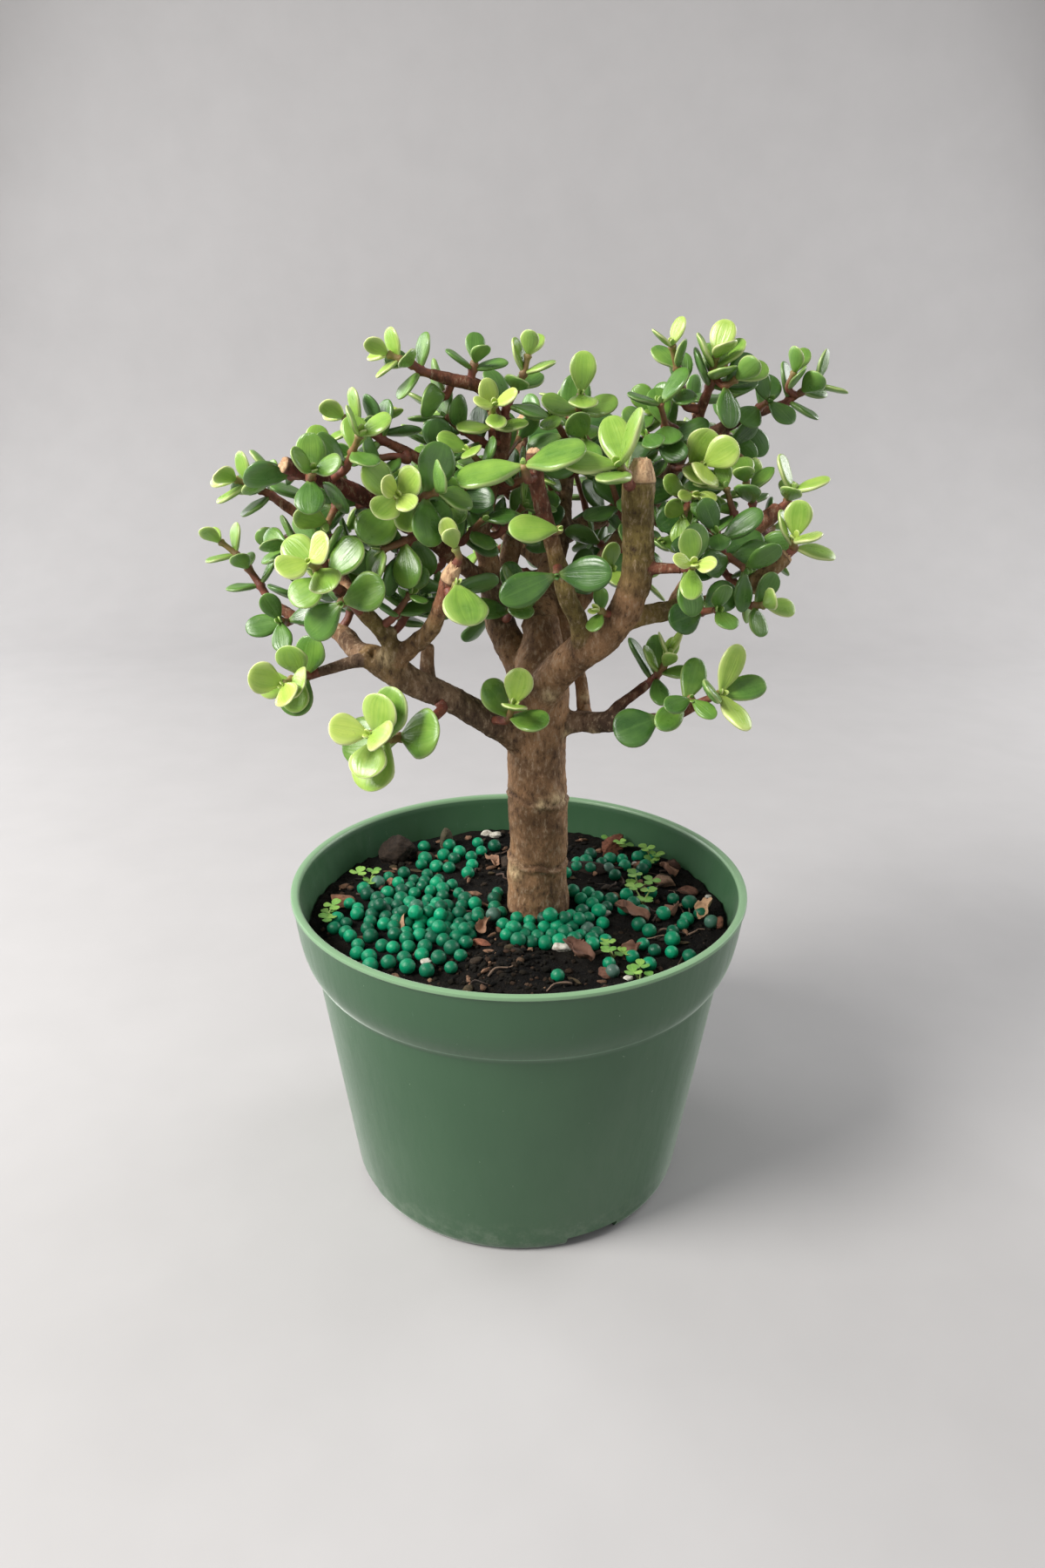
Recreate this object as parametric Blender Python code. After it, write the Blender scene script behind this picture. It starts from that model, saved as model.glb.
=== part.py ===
"""Dwarf jade bonsai in a green nursery pot.

The pot stands with its underside centred on the origin, +Z is up and -Y is the front. The layout of
the tree is in millimetres. Solids are in metres.
"""

import math
import random
from collections import namedtuple

import bmesh
import bpy
import numpy as np

MM = 0.001
GAP = 0.35  # between the wood and a leafy stem, and between the pot and its filling
SEED = 7

POT_HEIGHT = 89.5
POT_RADIUS = 63.5  # outside of the rim
BASE_RADIUS = 47.7
SOIL_TOP = 79.8
SOIL_FALL = 1.5  # how much lower the soil lies at the wall than in the middle
SOIL_RADIUS = 58.0
FLOOR = 2.0  # thickness of the pot's floor
WALL = 1.4
COLLAR_LOW = 69.3  # where the collar ends
COLLAR_RADIUS = 59.8
WALL_TOP = 57.6  # radius of the wall just under the collar
TURN_STEPS = 28
SLOT_TURN = 26  # degrees round from the front to the first drain slot
SLOT_WIDTH = 15.5
SLOT_HEIGHT = 3.1
SLOT_INNER = 44.5
SLOT_OUTER = 52.0

TRUNK_SIDES = 10
LIMB_SIDES = 6
STEM_SIDES = 4
TWIG_SIDES = 3
TWIG_RADIUS = 1.1  # stems no thicker than this at the root have fewer sides
THIN_LIMB = 2.2
THIN_SIDES = 4
LEAF_THICK = 1.2
ROOT_SINK = 0.4  # how far a leaf reaches past the middle of its stem
LARGE_LENGTH = 12  # shorter leaves have fewer corners
TINY_LENGTH = 5
LARGE_LEAF = ((0.3, 0.62), (0.66, 1.0), (0.97, 0.46))
SMALL_LEAF = ((0.56, 0.96), (0.96, 0.52))
TINY_LEAF = ((0.9, 1.0),)

BEAD_RADIUS = 2.3
BEAD_WAIST = 1.6  # height of the dip between neighbouring beads
BEAD_SHOULDER = 0.66  # share of a bead's radius where its top rounds over
BEADS = {
    "beads_left": ((-27, -10), (16, 11), -0.5),
    "beads_front": ((9, -18), (14, 6), 0.1),
}
CHIPS = {
    "bark_chunk": (-39, 33, (6, 4.5, 5), (0.02, 0.014, 0.01)),
    "bark_flake": (30, 42, (6.5, 3.5, 2.5), (0.13, 0.05, 0.03)),
}
SEEDLING_STEM = 0.5
SEEDLINGS = {
    "seedling_front": (25, -26),
    "seedling_right": (36, 4),
    "seedling_left": (-45, 16),
    "seedling_edge": (31, -38),
}

Spray = namedtuple("Spray", "name limb path radii pairs first length phase opening width age without")
Bud = namedtuple("Bud", "base direction side front around opening length width age")
Leaf = namedtuple("Leaf", "base along upper length width age")

UP = np.array([0.0, 0.0, 1.0])
FRONT = np.array([0.0, -0.93, 0.36])
WIDEST = 0.62  # share of a leaf's length where it is widest
END_STEPS = 4  # steps of a limb kept free behind its end
COLLAR = 1.5  # length of the straight stretch where a stem leaves the wood
SPOON = 0.11  # how far a leaf's sides rise, as a share of its half width
WOOD_CLEAR = 1.3  # what a leaf's middle surface keeps from the wood
STEM_CLEAR = 1.25
LEAF_CLEAR = 2.1
OWN_STEM_CLEAR = 0.5  # the same within one leafy stem
OWN_LEAF_CLEAR = 1.5
FEEL_ALONG = (0.22, 0.4, 0.58, 0.76, 0.92, 1.0)
FEEL_ACROSS = (-0.8, -0.4, 0, 0.4, 0.8)
TURNS = (0, 12, -12, 24, -24, 38, -38, 55, -55)
LIFTS = (0, 14, -14, 28, -28)
SCALES = (1, 0.88, 0.76)
TRIES = sorted(
    ((turn, lift, scale) for turn in TURNS for lift in LIFTS for scale in SCALES),
    key=lambda way: (abs(way[0]) / 15 + abs(way[1]) / 12 + (1 - way[2]) * 9, way),
)

# The wood: for each limb the points that it runs through, as x, y, z and radius.
LIMBS = {
    "trunk": [(5.5, 2, 73.5, 8.8), (5.5, 2, 82, 8.8), (5, 2, 89.5, 8.4), (5.5, 2, 101, 8.1),
        (5, 2, 110, 8.4), (4.5, 2, 122, 7.9), (4.5, 2, 132, 8), (5, 3, 141.5, 8.2),
        (5.5, 4, 151, 6.8), (5.5, 5, 158, 5.2), (5.5, 6, 163, 4.2)],
    "left": [(2, 1, 130, 5.7), (-4, -3, 134, 3.9), (-12, -7, 140, 3.6), (-19, -11, 145.5, 3.4),
        (-26, -14, 149.5, 3.7), (-32.5, -16, 154, 3.9), (-36.5, -17, 157, 3.4)],
    "left_olive": [(-31, -17, 155, 2.4), (-32, -19, 161.5, 2.1), (-36, -21, 167.5, 2),
        (-40, -23, 172, 1.7), (-43, -25, 175.5, 1.5)],
    "left_callus": [(-32, -17, 155.5, 2.4), (-27, -19, 160, 2.3), (-21.5, -22, 165.5, 2.2),
        (-18.5, -25, 173, 1.9), (-16.5, -27, 179, 2.2), (-15, -28, 182, 2.3)],
    "left_prop": [(-23.5, -8, 146.5, 2), (-24, -8, 152.5, 1.9), (-23.5, -8, 158.5, 1.7)],
    "left_dark": [(-36, -16, 156.5, 2.8), (-41, -12, 157.5, 2.7), (-45, -8, 160.5, 2.5),
        (-50.5, -4, 162, 1.7), (-57, 0, 162.5, 1.5), (-63.5, 2, 165.5, 1.4)],
    "left_low": [(-37, -18, 157, 1.7), (-41, -19, 156.5, 1.6), (-46.5, -20, 155, 1.4),
        (-50, -21, 154, 1.3)],
    "left_high": [(-37.5, -21, 169, 1.5), (-44, -12, 176, 1.5), (-49, -4, 183, 1.5),
        (-55.5, 0, 188.5, 1.4), (-61.5, 2, 192.5, 1.3)],
    "cut_red": [(-10, 14, 170, 2.3), (-17.5, 4, 178, 2.2), (-27.5, -6, 188, 2.2),
        (-38, -14, 195.5, 2.2), (-46.5, -20, 200, 2.1), (-54, -25, 203.5, 1.9)],
    "back_left": [(3.5, 6, 140.5, 4.7), (0, 9, 149, 4.7), (-4.5, 12, 156.5, 4.3),
        (-7, 14, 163.5, 4), (-7.5, 15, 170.5, 3.5)],
    "stem_a": [(-7.5, 15, 168.5, 3.1), (-9, 14, 176.5, 2.9), (-11, 12, 183.5, 2.7),
        (-9, 10, 193, 2.6), (-6.5, 8, 201.5, 2.4), (-5, 7, 208, 2.2), (-4.5, 6, 212.5, 1.9)],
    "stem_b": [(-7, 16, 164.5, 3.1), (-4, 20, 173.5, 2.8), (-2, 24, 182, 2.7),
        (-0.5, 28, 193, 2.6), (-0.5, 31, 203, 2.4), (0, 33, 211.5, 2.1)],
    "top_left": [(-5.5, 7, 208, 1.8), (-7.5, 4, 214.5, 1.7), (-10.5, 2, 219.5, 1.7),
        (-17, 0, 221, 1.6), (-22.5, -2, 222.5, 1.3)],
    "arm_left": [(-8.5, 10, 190.5, 2), (-14.5, 6, 195.5, 1.8), (-20.5, 2, 199.5, 1.6),
        (-27, -3, 204, 1.4), (-32.5, -6, 207, 1.2)],
    "right": [(4.5, -1, 142.5, 5.1), (9.5, -5, 150.5, 4.7), (15, -8, 156.5, 4.6),
        (20, -10, 160.5, 4.5), (24.5, -12, 166.5, 3.9), (27, -13, 173, 3.8), (28, -14, 179.5, 3.6),
        (27.5, -15, 190, 3.4), (27, -16, 197, 3.4), (27.5, -16, 201, 3.1), (27.5, -16, 204.5, 2.5)],
    "olive_stub": [(15.5, -10, 158, 2.4), (14, -13, 166, 2.4), (11.5, -15, 171, 2.4),
        (9, -17, 179, 2.3), (7, -19, 186, 2), (4.5, -20, 194.5, 2), (3, -21, 201, 2),
        (2.5, -21, 207, 1.9)],
    "right_low": [(10, 2, 134.5, 3.3), (16.5, 0, 135.5, 2.8), (23.5, -3, 136.5, 2.8),
        (30, -6, 137.5, 2.3), (36, -8, 139, 1.6), (41, -10, 141.5, 1.6), (45.5, -13, 145, 1.4)],
    "right_low_fork": [(23.5, -3, 137.5, 1.8), (26.5, -2, 141, 1.5), (30, -1, 143.5, 1.4),
        (34, 0, 146.5, 1.3)],
    "right_prop": [(18, 1, 135, 2.2), (17, 4, 138.5, 1.8), (16.5, 7, 143.5, 1.8),
        (15, 10, 150, 1.8), (13.5, 13, 157, 2.2)],
    "right_olive": [(23.5, -11, 164.5, 2.6), (30, -10, 166.5, 2.6), (37.5, -8, 167.5, 2.5),
        (45.5, -6, 168.5, 2.4), (52.5, -4, 169.5, 2.4), (58, -3, 173, 2.3), (62.5, -2, 176.5, 2.2),
        (67, -1, 180.5, 2.2)],
    "right_twin": [(38, -7, 167, 2), (41.5, -2, 172, 2.2), (45.5, 2, 175.5, 2.2),
        (51.5, 5, 178.5, 2.4), (56.5, 7, 183, 2.4), (62, 9, 187, 2.3), (66.5, 10, 190.5, 2.2)],
    "right_fine": [(28, -14, 179, 1.5), (33, -17, 179.5, 1.4), (38, -20, 180, 1.2)],
    "back_right": [(5.5, 8, 146, 4.5), (11.5, 15, 159.5, 3.8), (17, 19, 167.5, 3.7),
        (23, 21, 174.5, 3.4), (29, 25, 182, 3.1), (35.5, 28, 190.5, 2.9), (40.5, 30, 198.5, 2.6),
        (44, 31, 204.5, 2.4)],
    "back_right_fork": [(43.5, 31, 203.5, 1.9), (49, 32, 206.5, 1.8), (55.5, 33, 209.5, 1.7),
        (62.5, 34, 212.5, 1.5), (68.5, 35, 214.5, 1.4)],
    "back_right_red": [(43.5, 31, 203.5, 1.7), (45.5, 27, 209, 1.6), (46.5, 23, 214, 1.5),
        (47.5, 20, 218.5, 1.3)],
    "back_mid": [(5, 6, 159.5, 4.2), (6, 14, 165, 3.8), (8, 26, 171, 3.6), (10, 34, 179.5, 3.7),
        (11, 40, 188.5, 3.2), (12.5, 44, 197.5, 2.7), (13.5, 47, 206, 2.4)],
    "back_far_left": [(8.5, 28, 172.5, 3.2), (0, 38, 176.5, 2.7), (-8.5, 46, 182, 2.5),
        (-16.5, 52, 189, 2.2), (-24, 57, 196, 1.9)],
    "back_far_right": [(10, 34, 179.5, 3), (19, 44, 181.5, 2.7), (29, 52, 185, 2.4),
        (38, 58, 190.5, 2.1), (44.5, 62, 195.5, 1.8)],
}

# The leafy stems: which limb or stem each springs from, the points it runs through, its radii, its pairs of
# leaves from a first share of its length, and their length, turn, opening, width, age and gaps.
SPRAYS = [
    Spray("far_left", "left_dark", [(-67.5, 3, 170.5), (-71, 4, 175.5), (-74, 4, 179), (-77, 4, 181.5)],
          (1.2, 0.8), 4, 0.3, (9.5, 7), 0, (70, 45), 0.62, (0.25, 0.7), ()),
    Spray("left_tip", "left_high", [(-64, 1, 194), (-67, 0, 196), (-70.5, -1, 197.5)],
          (1.2, 0.8), 4, 0.1, (9.5, 8), 0, (70, 50), 0.68, (0.3, 0.75), ()),
    Spray("left_rosette", "left_olive", [(-44.5, -28, 178.5), (-46.5, -33, 182), (-47, -36, 183.5)],
          (1.3, 0.9), 3, 0.35, (11, 9), 40, (80, 55), 0.8, (0.45, 0.9), ()),
    Spray("left_olive_pair", "left_olive", [(-40.5, -28, 173.5), (-41, -31, 173.5)],
          (1.3, 1), 1, 1, (12, 12), 35, (82, 82), 0.72, (0.3, 0.3), ()),
    Spray("left_low_twig", "left_dark", [(-60, -3, 162.5), (-60.5, -8, 164)],
          (1.1, 0.9), 2, 0.5, (11, 9), 20, (80, 60), 0.6, (0.15, 0.3), ()),
    Spray("lower_left", "left_low", [(-52, -24, 154.5), (-54, -28, 154.5), (-55.5, -32, 154.5)],
          (1.2, 0.8), 4, 0.25, (10, 8.5), 60, (78, 50), 0.85, (0.35, 0.9), ()),
    Spray("front_left", "left",
          [(-20, -17, 143), (-24, -27, 142.5), (-29, -36, 142.5), (-32.5, -40.5, 144), (-34, -45, 146.5)],
          (1.4, 0.9), 4, 0.64, (15, 9), 75, (82, 55), 0.86, (0.35, 0.95), ()),
    Spray("on_trunk", "left", [(-3.5, -12, 139.5), (-2, -16, 144.5)],
          (1.2, 0.9), 2, 0.55, (12, 9.5), 0, (58, 40), 0.74, (0.35, 0.7), ()),
    Spray("callus_tip", "left_callus", [(-15, -28, 183.5), (-15, -29, 185.5)],
          (1.2, 0.8), 2, 0.4, (7, 7), 0, (38, 26), 0.6, (0.8, 0.95), ()),
    Spray("callus_front", "left_callus", [(-14.8, -31.5, 178)],
          (1.2, 1), 1, 1, (12, 12), -46, (84, 84), 0.9, (0.6, 0.6), (1,)),
    Spray("callus_back", "left_callus", [(-18, -19, 173), (-18, -13, 173.5)],
          (1.2, 1), 1, 1, (12.5, 12.5), 10, (75, 75), 0.68, (0.1, 0.1), ()),
    Spray("centre_rosette", "cut_red", [(-29.5, -15, 193), (-28.5, -21, 195.5), (-28, -27, 197)],
          (1.3, 0.9), 4, 0.35, (12.5, 7), 50, (82, 40), 0.78, (0.4, 0.95), ()),
    Spray("below_rosette", "cut_red", [(-26, -13, 186), (-28, -19, 185.5), (-32.5, -21, 184)],
          (1.3, 0.9), 3, 0.3, (12.5, 9.5), 80, (75, 60), 0.72, (0.2, 0.4), ()),
    Spray("big_horizontal", "olive_stub", [(1, -24.5, 201.5), (0.3, -26, 203.5)],
          (1.3, 1.1), 1, 1, (14.5, 14.5), -15, (86, 86), 0.76, (0.4, 0.4), ()),
    Spray("bright_long", "right", [(24, -21, 201), (22, -23, 203.5)],
          (1.3, 1), 2, 0.6, (15, 15), 60, (60, 45), 0.55, (0.55, 0.6), ()),
    Spray("olive_left", "olive_stub", [(8.5, -25, 189.5)],
          (1.2, 1), 1, 1, (11.5, 11.5), 5, (86, 86), 0.6, (0.5, 0.5), (0,)),
    Spray("olive_dark", "olive_stub", [(8.5, -21.5, 178.5), (8, -22.5, 181)],
          (1.2, 1), 1, 1, (14.5, 14.5), 28, (68, 68), 0.6, (0.1, 0.1), ()),
    Spray("crotch", "right", [(20, -15, 168), (19, -16, 169)],
          (1, 0.8), 2, 0.6, (6.5, 3.5), 0, (70, 40), 0.7, (0.3, 0.9), ()),
    Spray("top_left_tip", "top_left", [(-25.5, -3, 224), (-29, -4, 225.5), (-31.5, -4, 226.5)],
          (1.1, 0.8), 4, 0.12, (8.5, 7), 0, (68, 42), 0.66, (0.3, 0.85), ()),
    Spray("top_left_knob", "top_left", [(-12, 1, 222), (-14, 1, 224.5)],
          (1.1, 0.8), 2, 0.5, (8.5, 7.5), 30, (70, 45), 0.66, (0.2, 0.35), ()),
    Spray("arm_left_tip", "arm_left", [(-35.5, -7, 209), (-39, -8, 211), (-42, -8, 212.5)],
          (1.1, 0.8), 4, 0.1, (9.5, 7.5), 0, (70, 42), 0.66, (0.2, 0.8), ()),
    Spray("arm_left_under", "arm_left", [(-30.5, -9, 204), (-35, -11, 203.5), (-38.5, -12, 203.5)],
          (1.1, 0.8), 3, 0.3, (10.5, 7), 20, (75, 45), 0.68, (0.2, 0.35), ()),
    Spray("top_centre", "stem_a", [(-2.5, 5, 218), (0, 4, 222.5), (1, 4, 226.5)],
          (1.2, 0.8), 4, 0.2, (10.5, 7), 0, (70, 35), 0.68, (0.25, 0.7), ()),
    Spray("top_centre_lime", "stem_a", [(-7.5, 1, 212.5), (-7, -3, 215.5)],
          (1.1, 0.8), 3, 0.4, (9.5, 7), 20, (75, 45), 0.66, (0.6, 0.95), ()),
    Spray("upper_left_dark", "stem_a", [(-11, 7, 206.5), (-15.5, 7, 209.5), (-19, 7, 212)],
          (1.2, 0.9), 3, 0.25, (11.5, 9.5), 20, (72, 50), 0.66, (0.1, 0.3), ()),
    Spray("centre_high", "back_mid", [(13, 33, 205.5), (14, 20, 212), (14.5, 12, 217.5)],
          (1.3, 0.9), 4, 0.35, (13, 10), 10, (72, 55), 0.72, (0.15, 0.6), ()),
    Spray("mid_right_top", "back_right", [(37.5, 20, 205.5), (36, 14, 211.5), (34.5, 12, 215.5)],
          (1.2, 0.8), 3, 0.4, (11.5, 10), 15, (75, 55), 0.66, (0.15, 0.3), ()),
    Spray("top_right_tip", "back_right_red", [(48, 17, 222.5), (48, 15, 226.5)],
          (1.2, 0.9), 4, 0.1, (11.5, 9), 10, (72, 45), 0.7, (0.2, 0.8), ()),
    Spray("top_right_left", "back_right_red", [(42, 22, 215.5), (39.5, 17, 222), (37, 14, 229)],
          (1.2, 0.9), 3, 0.45, (10, 7), 20, (68, 40), 0.66, (0.25, 0.7), ()),
    Spray("right_top_end", "back_right_fork", [(72, 35, 216), (75.5, 34, 218.5), (78.5, 34, 220)],
          (1.1, 0.8), 3, 0.35, (10, 9), 0, (65, 45), 0.64, (0.25, 0.45), ()),
    Spray("right_top_mid", "back_right_fork", [(63.5, 30, 214.5), (64.5, 26, 216)],
          (1.1, 0.9), 2, 0.5, (9.5, 9), 45, (80, 65), 0.74, (0.1, 0.15), ()),
    Spray("folded", "back_right", [(41.5, 23, 199), (44, 15, 200.5), (46, 11, 201)],
          (1.1, 0.8), 2, 0.7, (11, 11), 70, (60, 40), 0.8, (0.75, 0.85), ()),
    Spray("right_mid_dark", "back_right", [(41, 21, 194.5), (42.5, 12, 193.5), (43.5, 7, 194)],
          (1.2, 0.8), 3, 0.45, (12.5, 6), 0, (80, 55), 0.62, (0.1, 0.9), ()),
    Spray("right_twin_tip", "right_twin", [(68, 10, 193), (69, 10, 194.5)],
          (1.2, 0.9), 3, 0.1, (9.5, 9.5), 0, (75, 45), 0.66, (0.35, 0.65), ()),
    Spray("right_olive_tip", "right_olive", [(67.5, -2, 182.5), (68, -3, 184.5)],
          (1.2, 0.9), 2, 0.35, (10.5, 10), 20, (70, 50), 0.72, (0.6, 0.75), ()),
    Spray("right_olive_low", "right_olive", [(58.5, -6, 168.5), (60.5, -8, 169)],
          (1.1, 0.9), 2, 0.5, (9, 8.5), 0, (70, 50), 0.7, (0.35, 0.7), ()),
    Spray("right_twin_mid", "right_twin", [(49.5, -2, 180.5), (52, -7, 180), (54.5, -10, 178.5)],
          (1.2, 0.9), 3, 0.2, (13, 10), 40, (78, 60), 0.62, (0.05, 0.15), ()),
    Spray("right_fine_tip", "right_fine", [(39, -22, 180.5), (39.5, -26, 182)],
          (1, 0.8), 3, 0.05, (11, 6.5), 0, (85, 50), 0.66, (0.2, 0.98), ()),
    Spray("fork_tip", "right_low_fork", [(35.5, -2, 149), (37, -4, 152), (38, -4, 154.5)],
          (1.1, 0.8), 5, 0.05, (12.5, 7), 10, (78, 30), 0.5, (0.1, 0.8), ()),
    Spray("right_round", "right_low", [(35, -13.5, 141), (35, -16.5, 142)],
          (1.1, 0.9), 1, 1, (11.5, 11.5), 10, (84, 84), 0.95, (0.15, 0.15), (0,)),
    Spray("right_end", "right_low", [(47.5, -15, 146.5), (49.5, -17, 148.5)],
          (1.2, 0.9), 2, 0.8, (14, 14), 70, (60, 55), 0.5, (0.4, 0.8), ()),
    Spray("right_hang", "right_low", [(41.5, -15, 145.5), (42, -20, 148)],
          (1.1, 0.9), 2, 0.5, (12.5, 9.5), -70, (84, 70), 0.55, (0.35, 0.3), ()),
    Spray("back_top", "back_mid", [(13.5, 51, 210.5), (12, 53, 214.5)],
          (1.2, 0.8), 3, 0.1, (11, 8), 0, (72, 45), 0.68, (0.2, 0.6), ()),
    Spray("back_left_tip", "back_far_left", [(-27, 59, 201), (-28.5, 59, 205)],
          (1.2, 0.8), 3, 0.1, (10.5, 8), 0, (72, 45), 0.68, (0.2, 0.6), ()),
    Spray("back_left_mid", "back_far_left", [(-13.5, 57, 190), (-16.5, 65, 193)],
          (1.2, 0.8), 2, 0.4, (11, 8), 0, (72, 45), 0.68, (0.15, 0.5), ()),
    Spray("back_right_tip", "back_far_right", [(48, 63, 199.5), (50.5, 64, 203)],
          (1.2, 0.8), 3, 0.1, (10.5, 8), 0, (72, 45), 0.68, (0.2, 0.6), ()),
    Spray("back_right_mid", "back_far_right", [(30.5, 61, 190), (30.5, 68, 193)],
          (1.2, 0.8), 2, 0.4, (11, 8), 0, (72, 45), 0.68, (0.15, 0.5), ()),
    Spray("back_low_right", "back_right", [(29, 38, 173), (35, 47, 174.5), (38.5, 52, 176.5)],
          (1.2, 0.8), 3, 0.35, (11, 8), 0, (72, 45), 0.68, (0.15, 0.5), ()),
    Spray("back_low_left", "back_left", [(-9.5, 28, 157.5), (-16, 38, 160), (-21.5, 44, 162)],
          (1.2, 0.8), 3, 0.35, (11, 8), 0, (72, 45), 0.68, (0.15, 0.5), ()),
    Spray("arm_left_up", "arm_left_tip", [(-33.5, -4, 210), (-32.5, -3, 212)],
          (1, 0.8), 2, 0.3, (9.5, 5), 0, (72, 35), 0.6, (0.15, 0.9), ()),
    Spray("left_rosette_b", "left_rosette", [(-45.5, -26, 181), (-47.5, -22, 184)],
          (1, 0.8), 2, 0.5, (10.5, 9.5), 0, (75, 50), 0.72, (0.3, 0.5), ()),
    Spray("below_b", "below_rosette", [(-28.5, -15, 182.5), (-32, -12, 178.5), (-35.5, -10, 177)],
          (1.1, 0.8), 2, 0.3, (11.5, 9), 40, (75, 50), 0.7, (0.1, 0.3), ()),
    Spray("centre_b", "centre_rosette", [(-26, -20, 195), (-22, -23, 196.5), (-19.5, -24, 197.5)],
          (1.1, 0.8), 2, 0.7, (12, 10), -20, (70, 55), 0.74, (0.25, 0.4), ()),
    Spray("high_b", "centre_high", [(11.5, 24, 207), (9, 18, 210), (7, 14, 212.5)],
          (1.1, 0.8), 2, 0.3, (11, 9), 30, (75, 50), 0.66, (0.1, 0.35), ()),
    Spray("high_c", "centre_high", [(15.5, 22, 203), (17, 12, 206), (15.5, 6, 207.5)],
          (1.1, 0.8), 2, 0.4, (13.5, 10), 20, (75, 50), 0.68, (0.15, 0.35), ()),
    Spray("mid_b", "mid_right_top", [(35, 14, 206), (32, 8, 207), (30.5, 5, 208.5)],
          (1.1, 0.8), 2, 0.4, (11, 9), 30, (75, 50), 0.66, (0.1, 0.3), ()),
    Spray("tip_b", "top_right_tip", [(50.5, 14, 220), (53, 12, 221.5)],
          (1, 0.8), 2, 0.6, (11, 9), 0, (70, 45), 0.66, (0.25, 0.5), ()),
    Spray("end_b", "right_top_end", [(71, 33, 219.5), (72, 32, 223)],
          (1, 0.8), 2, 0.4, (9.5, 8), 0, (60, 35), 0.62, (0.3, 0.55), ()),
    Spray("dark_b", "right_mid_dark", [(43, 12, 191), (41.5, 8, 189)],
          (1, 0.8), 2, 0.5, (10, 8), 40, (75, 50), 0.7, (0.15, 0.5), ()),
    Spray("twin_b", "right_twin_mid", [(49.5, -4, 183.5), (47.5, -8, 186.5)],
          (1.1, 0.8), 2, 0.5, (12, 10), 20, (75, 50), 0.6, (0.05, 0.2), ()),
]


def unit(vector):
    return vector / math.sqrt(float((vector * vector).sum()))


def smooth_line(rows, step):
    """A smooth curve through the rows, with a point about every step. Further columns follow."""
    rows = np.asarray(rows, float)
    ends = np.vstack([2 * rows[0] - rows[1], rows, 2 * rows[-1] - rows[-2]])
    found = []
    for i in range(1, len(ends) - 2):
        before, start, stop, after = ends[i - 1 : i + 3]
        count = max(1, int(round(math.dist(start[:3], stop[:3]) / step)))
        for t in (k / count for k in range(count)):
            bend = 2 * before - 5 * start + 4 * stop - after
            twist = 3 * start - before - 3 * stop + after
            found.append(start + 0.5 * ((stop - before) * t + bend * t**2 + twist * t**3))
    found.append(rows[-1])
    return np.array(found)


def point_on(line, t):
    """The point and the direction at a share t of the line's length."""
    last = len(line) - 1
    place = min(max(t, 0), 1) * last
    i = min(int(place), last - 1)
    point = line[i] + (line[i + 1] - line[i]) * (place - i)
    return point[:3], unit((line[min(last, i + 2)] - line[max(0, i - 1)])[:3])


def across(direction):
    """Two directions square to this one. The first lies across the view from the front."""
    side = np.cross(FRONT, direction)
    if math.sqrt(float((side * side).sum())) < 0.5:
        side = np.array([1.0, 0, 0]) - direction * direction[0]
    side = unit(side)
    if side[0] < 0:
        side = -side
    return side, np.cross(direction, side)


def nearest(line, point):
    return int(((line[:, :3] - point) ** 2).sum(axis=1).argmin())


def stem_rows(spray, limb_lines, stem_lines, ends_taken):
    """The points that a stem runs through, from the surface of the wood or from its parent stem."""
    path = [np.array(point, float) for point in spray.path]
    if spray.limb in stem_lines:
        parent = stem_lines[spray.limb]
        return [parent[nearest(parent, path[0])]] + path
    line = limb_lines[spray.limb]
    i = nearest(line, path[0])
    if i >= len(line) - 2 and spray.limb not in ends_taken:
        ends_taken.add(spray.limb)
        tip, before = np.array(LIMBS[spray.limb][-1][:3]), np.array(LIMBS[spray.limb][-2][:3])
        out = unit(tip - before)
        start = tip + out * GAP
    else:
        i = min(i, len(line) - 1 - END_STEPS)
        along = unit((line[i + 1] - line[i - 1])[:3])
        out = path[0] - line[i, :3]
        out = unit(out - along * float((along * out).sum()))
        start = line[i, :3] + out * (line[i, 3] + GAP)
    collar = start + out * COLLAR
    clear = [point for point in path if math.dist(point, start) > 2 * COLLAR]
    return [start, collar] + (clear or [collar + out * 1.2])


def leaf_pairs(spray, line, draw):
    """Opposite leaves, each pair turned a quarter from the last, smaller towards the tip."""
    for pair in range(spray.pairs):
        share = pair / (spray.pairs - 1) if spray.pairs > 1 else 1
        point, direction = point_on(line, spray.first + (1 - spray.first) * share)
        side, front = across(direction)
        length = spray.length[0] + (spray.length[1] - spray.length[0]) * share
        opening = spray.opening[0] + (spray.opening[1] - spray.opening[0]) * share
        age = spray.age[0] + (spray.age[1] - spray.age[0]) * share
        for half in (0, 1):
            turn, open_more, longer, wider = [draw.uniform(-1, 1) for _ in range(4)]
            if 2 * pair + half in spray.without:
                continue
            around = spray.phase + 90 * pair + 180 * half + 12 * turn
            size = length * (1 + 0.08 * longer)
            width = length * spray.width * (1 + 0.07 * wider)
            yield Bud(point, direction, side, front, around, opening + 7 * open_more, size, width, age)


def lay_leaf(bud, turn, lift, scale):
    """The leaf that grows from a bud, its upper face towards the tip of the stem and the light."""
    around = math.radians(bud.around + turn)
    opening = math.radians(min(100, bud.opening + lift))
    out = bud.side * math.cos(around) + bud.front * math.sin(around)
    along = bud.direction * math.cos(opening) + out * math.sin(opening)
    upper = bud.direction * math.sin(opening) - out * math.cos(opening)
    upper = upper + UP * 0.55 + FRONT * 0.4
    upper = unit(upper - along * float((upper * along).sum()))
    return Leaf(bud.base, along, upper, bud.length * scale, bud.width * scale, bud.age)


def half_width(share):
    """How wide a leaf is at a share of its length, from 0 to 1: narrow at the base, round at the tip."""
    if share < WIDEST:
        return 0.10 + 0.90 * math.sin(math.pi / 2 * share / WIDEST) ** 1.3
    return math.sqrt(max(0, 1 - ((share - WIDEST) / (1 - WIDEST)) ** 2))


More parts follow.
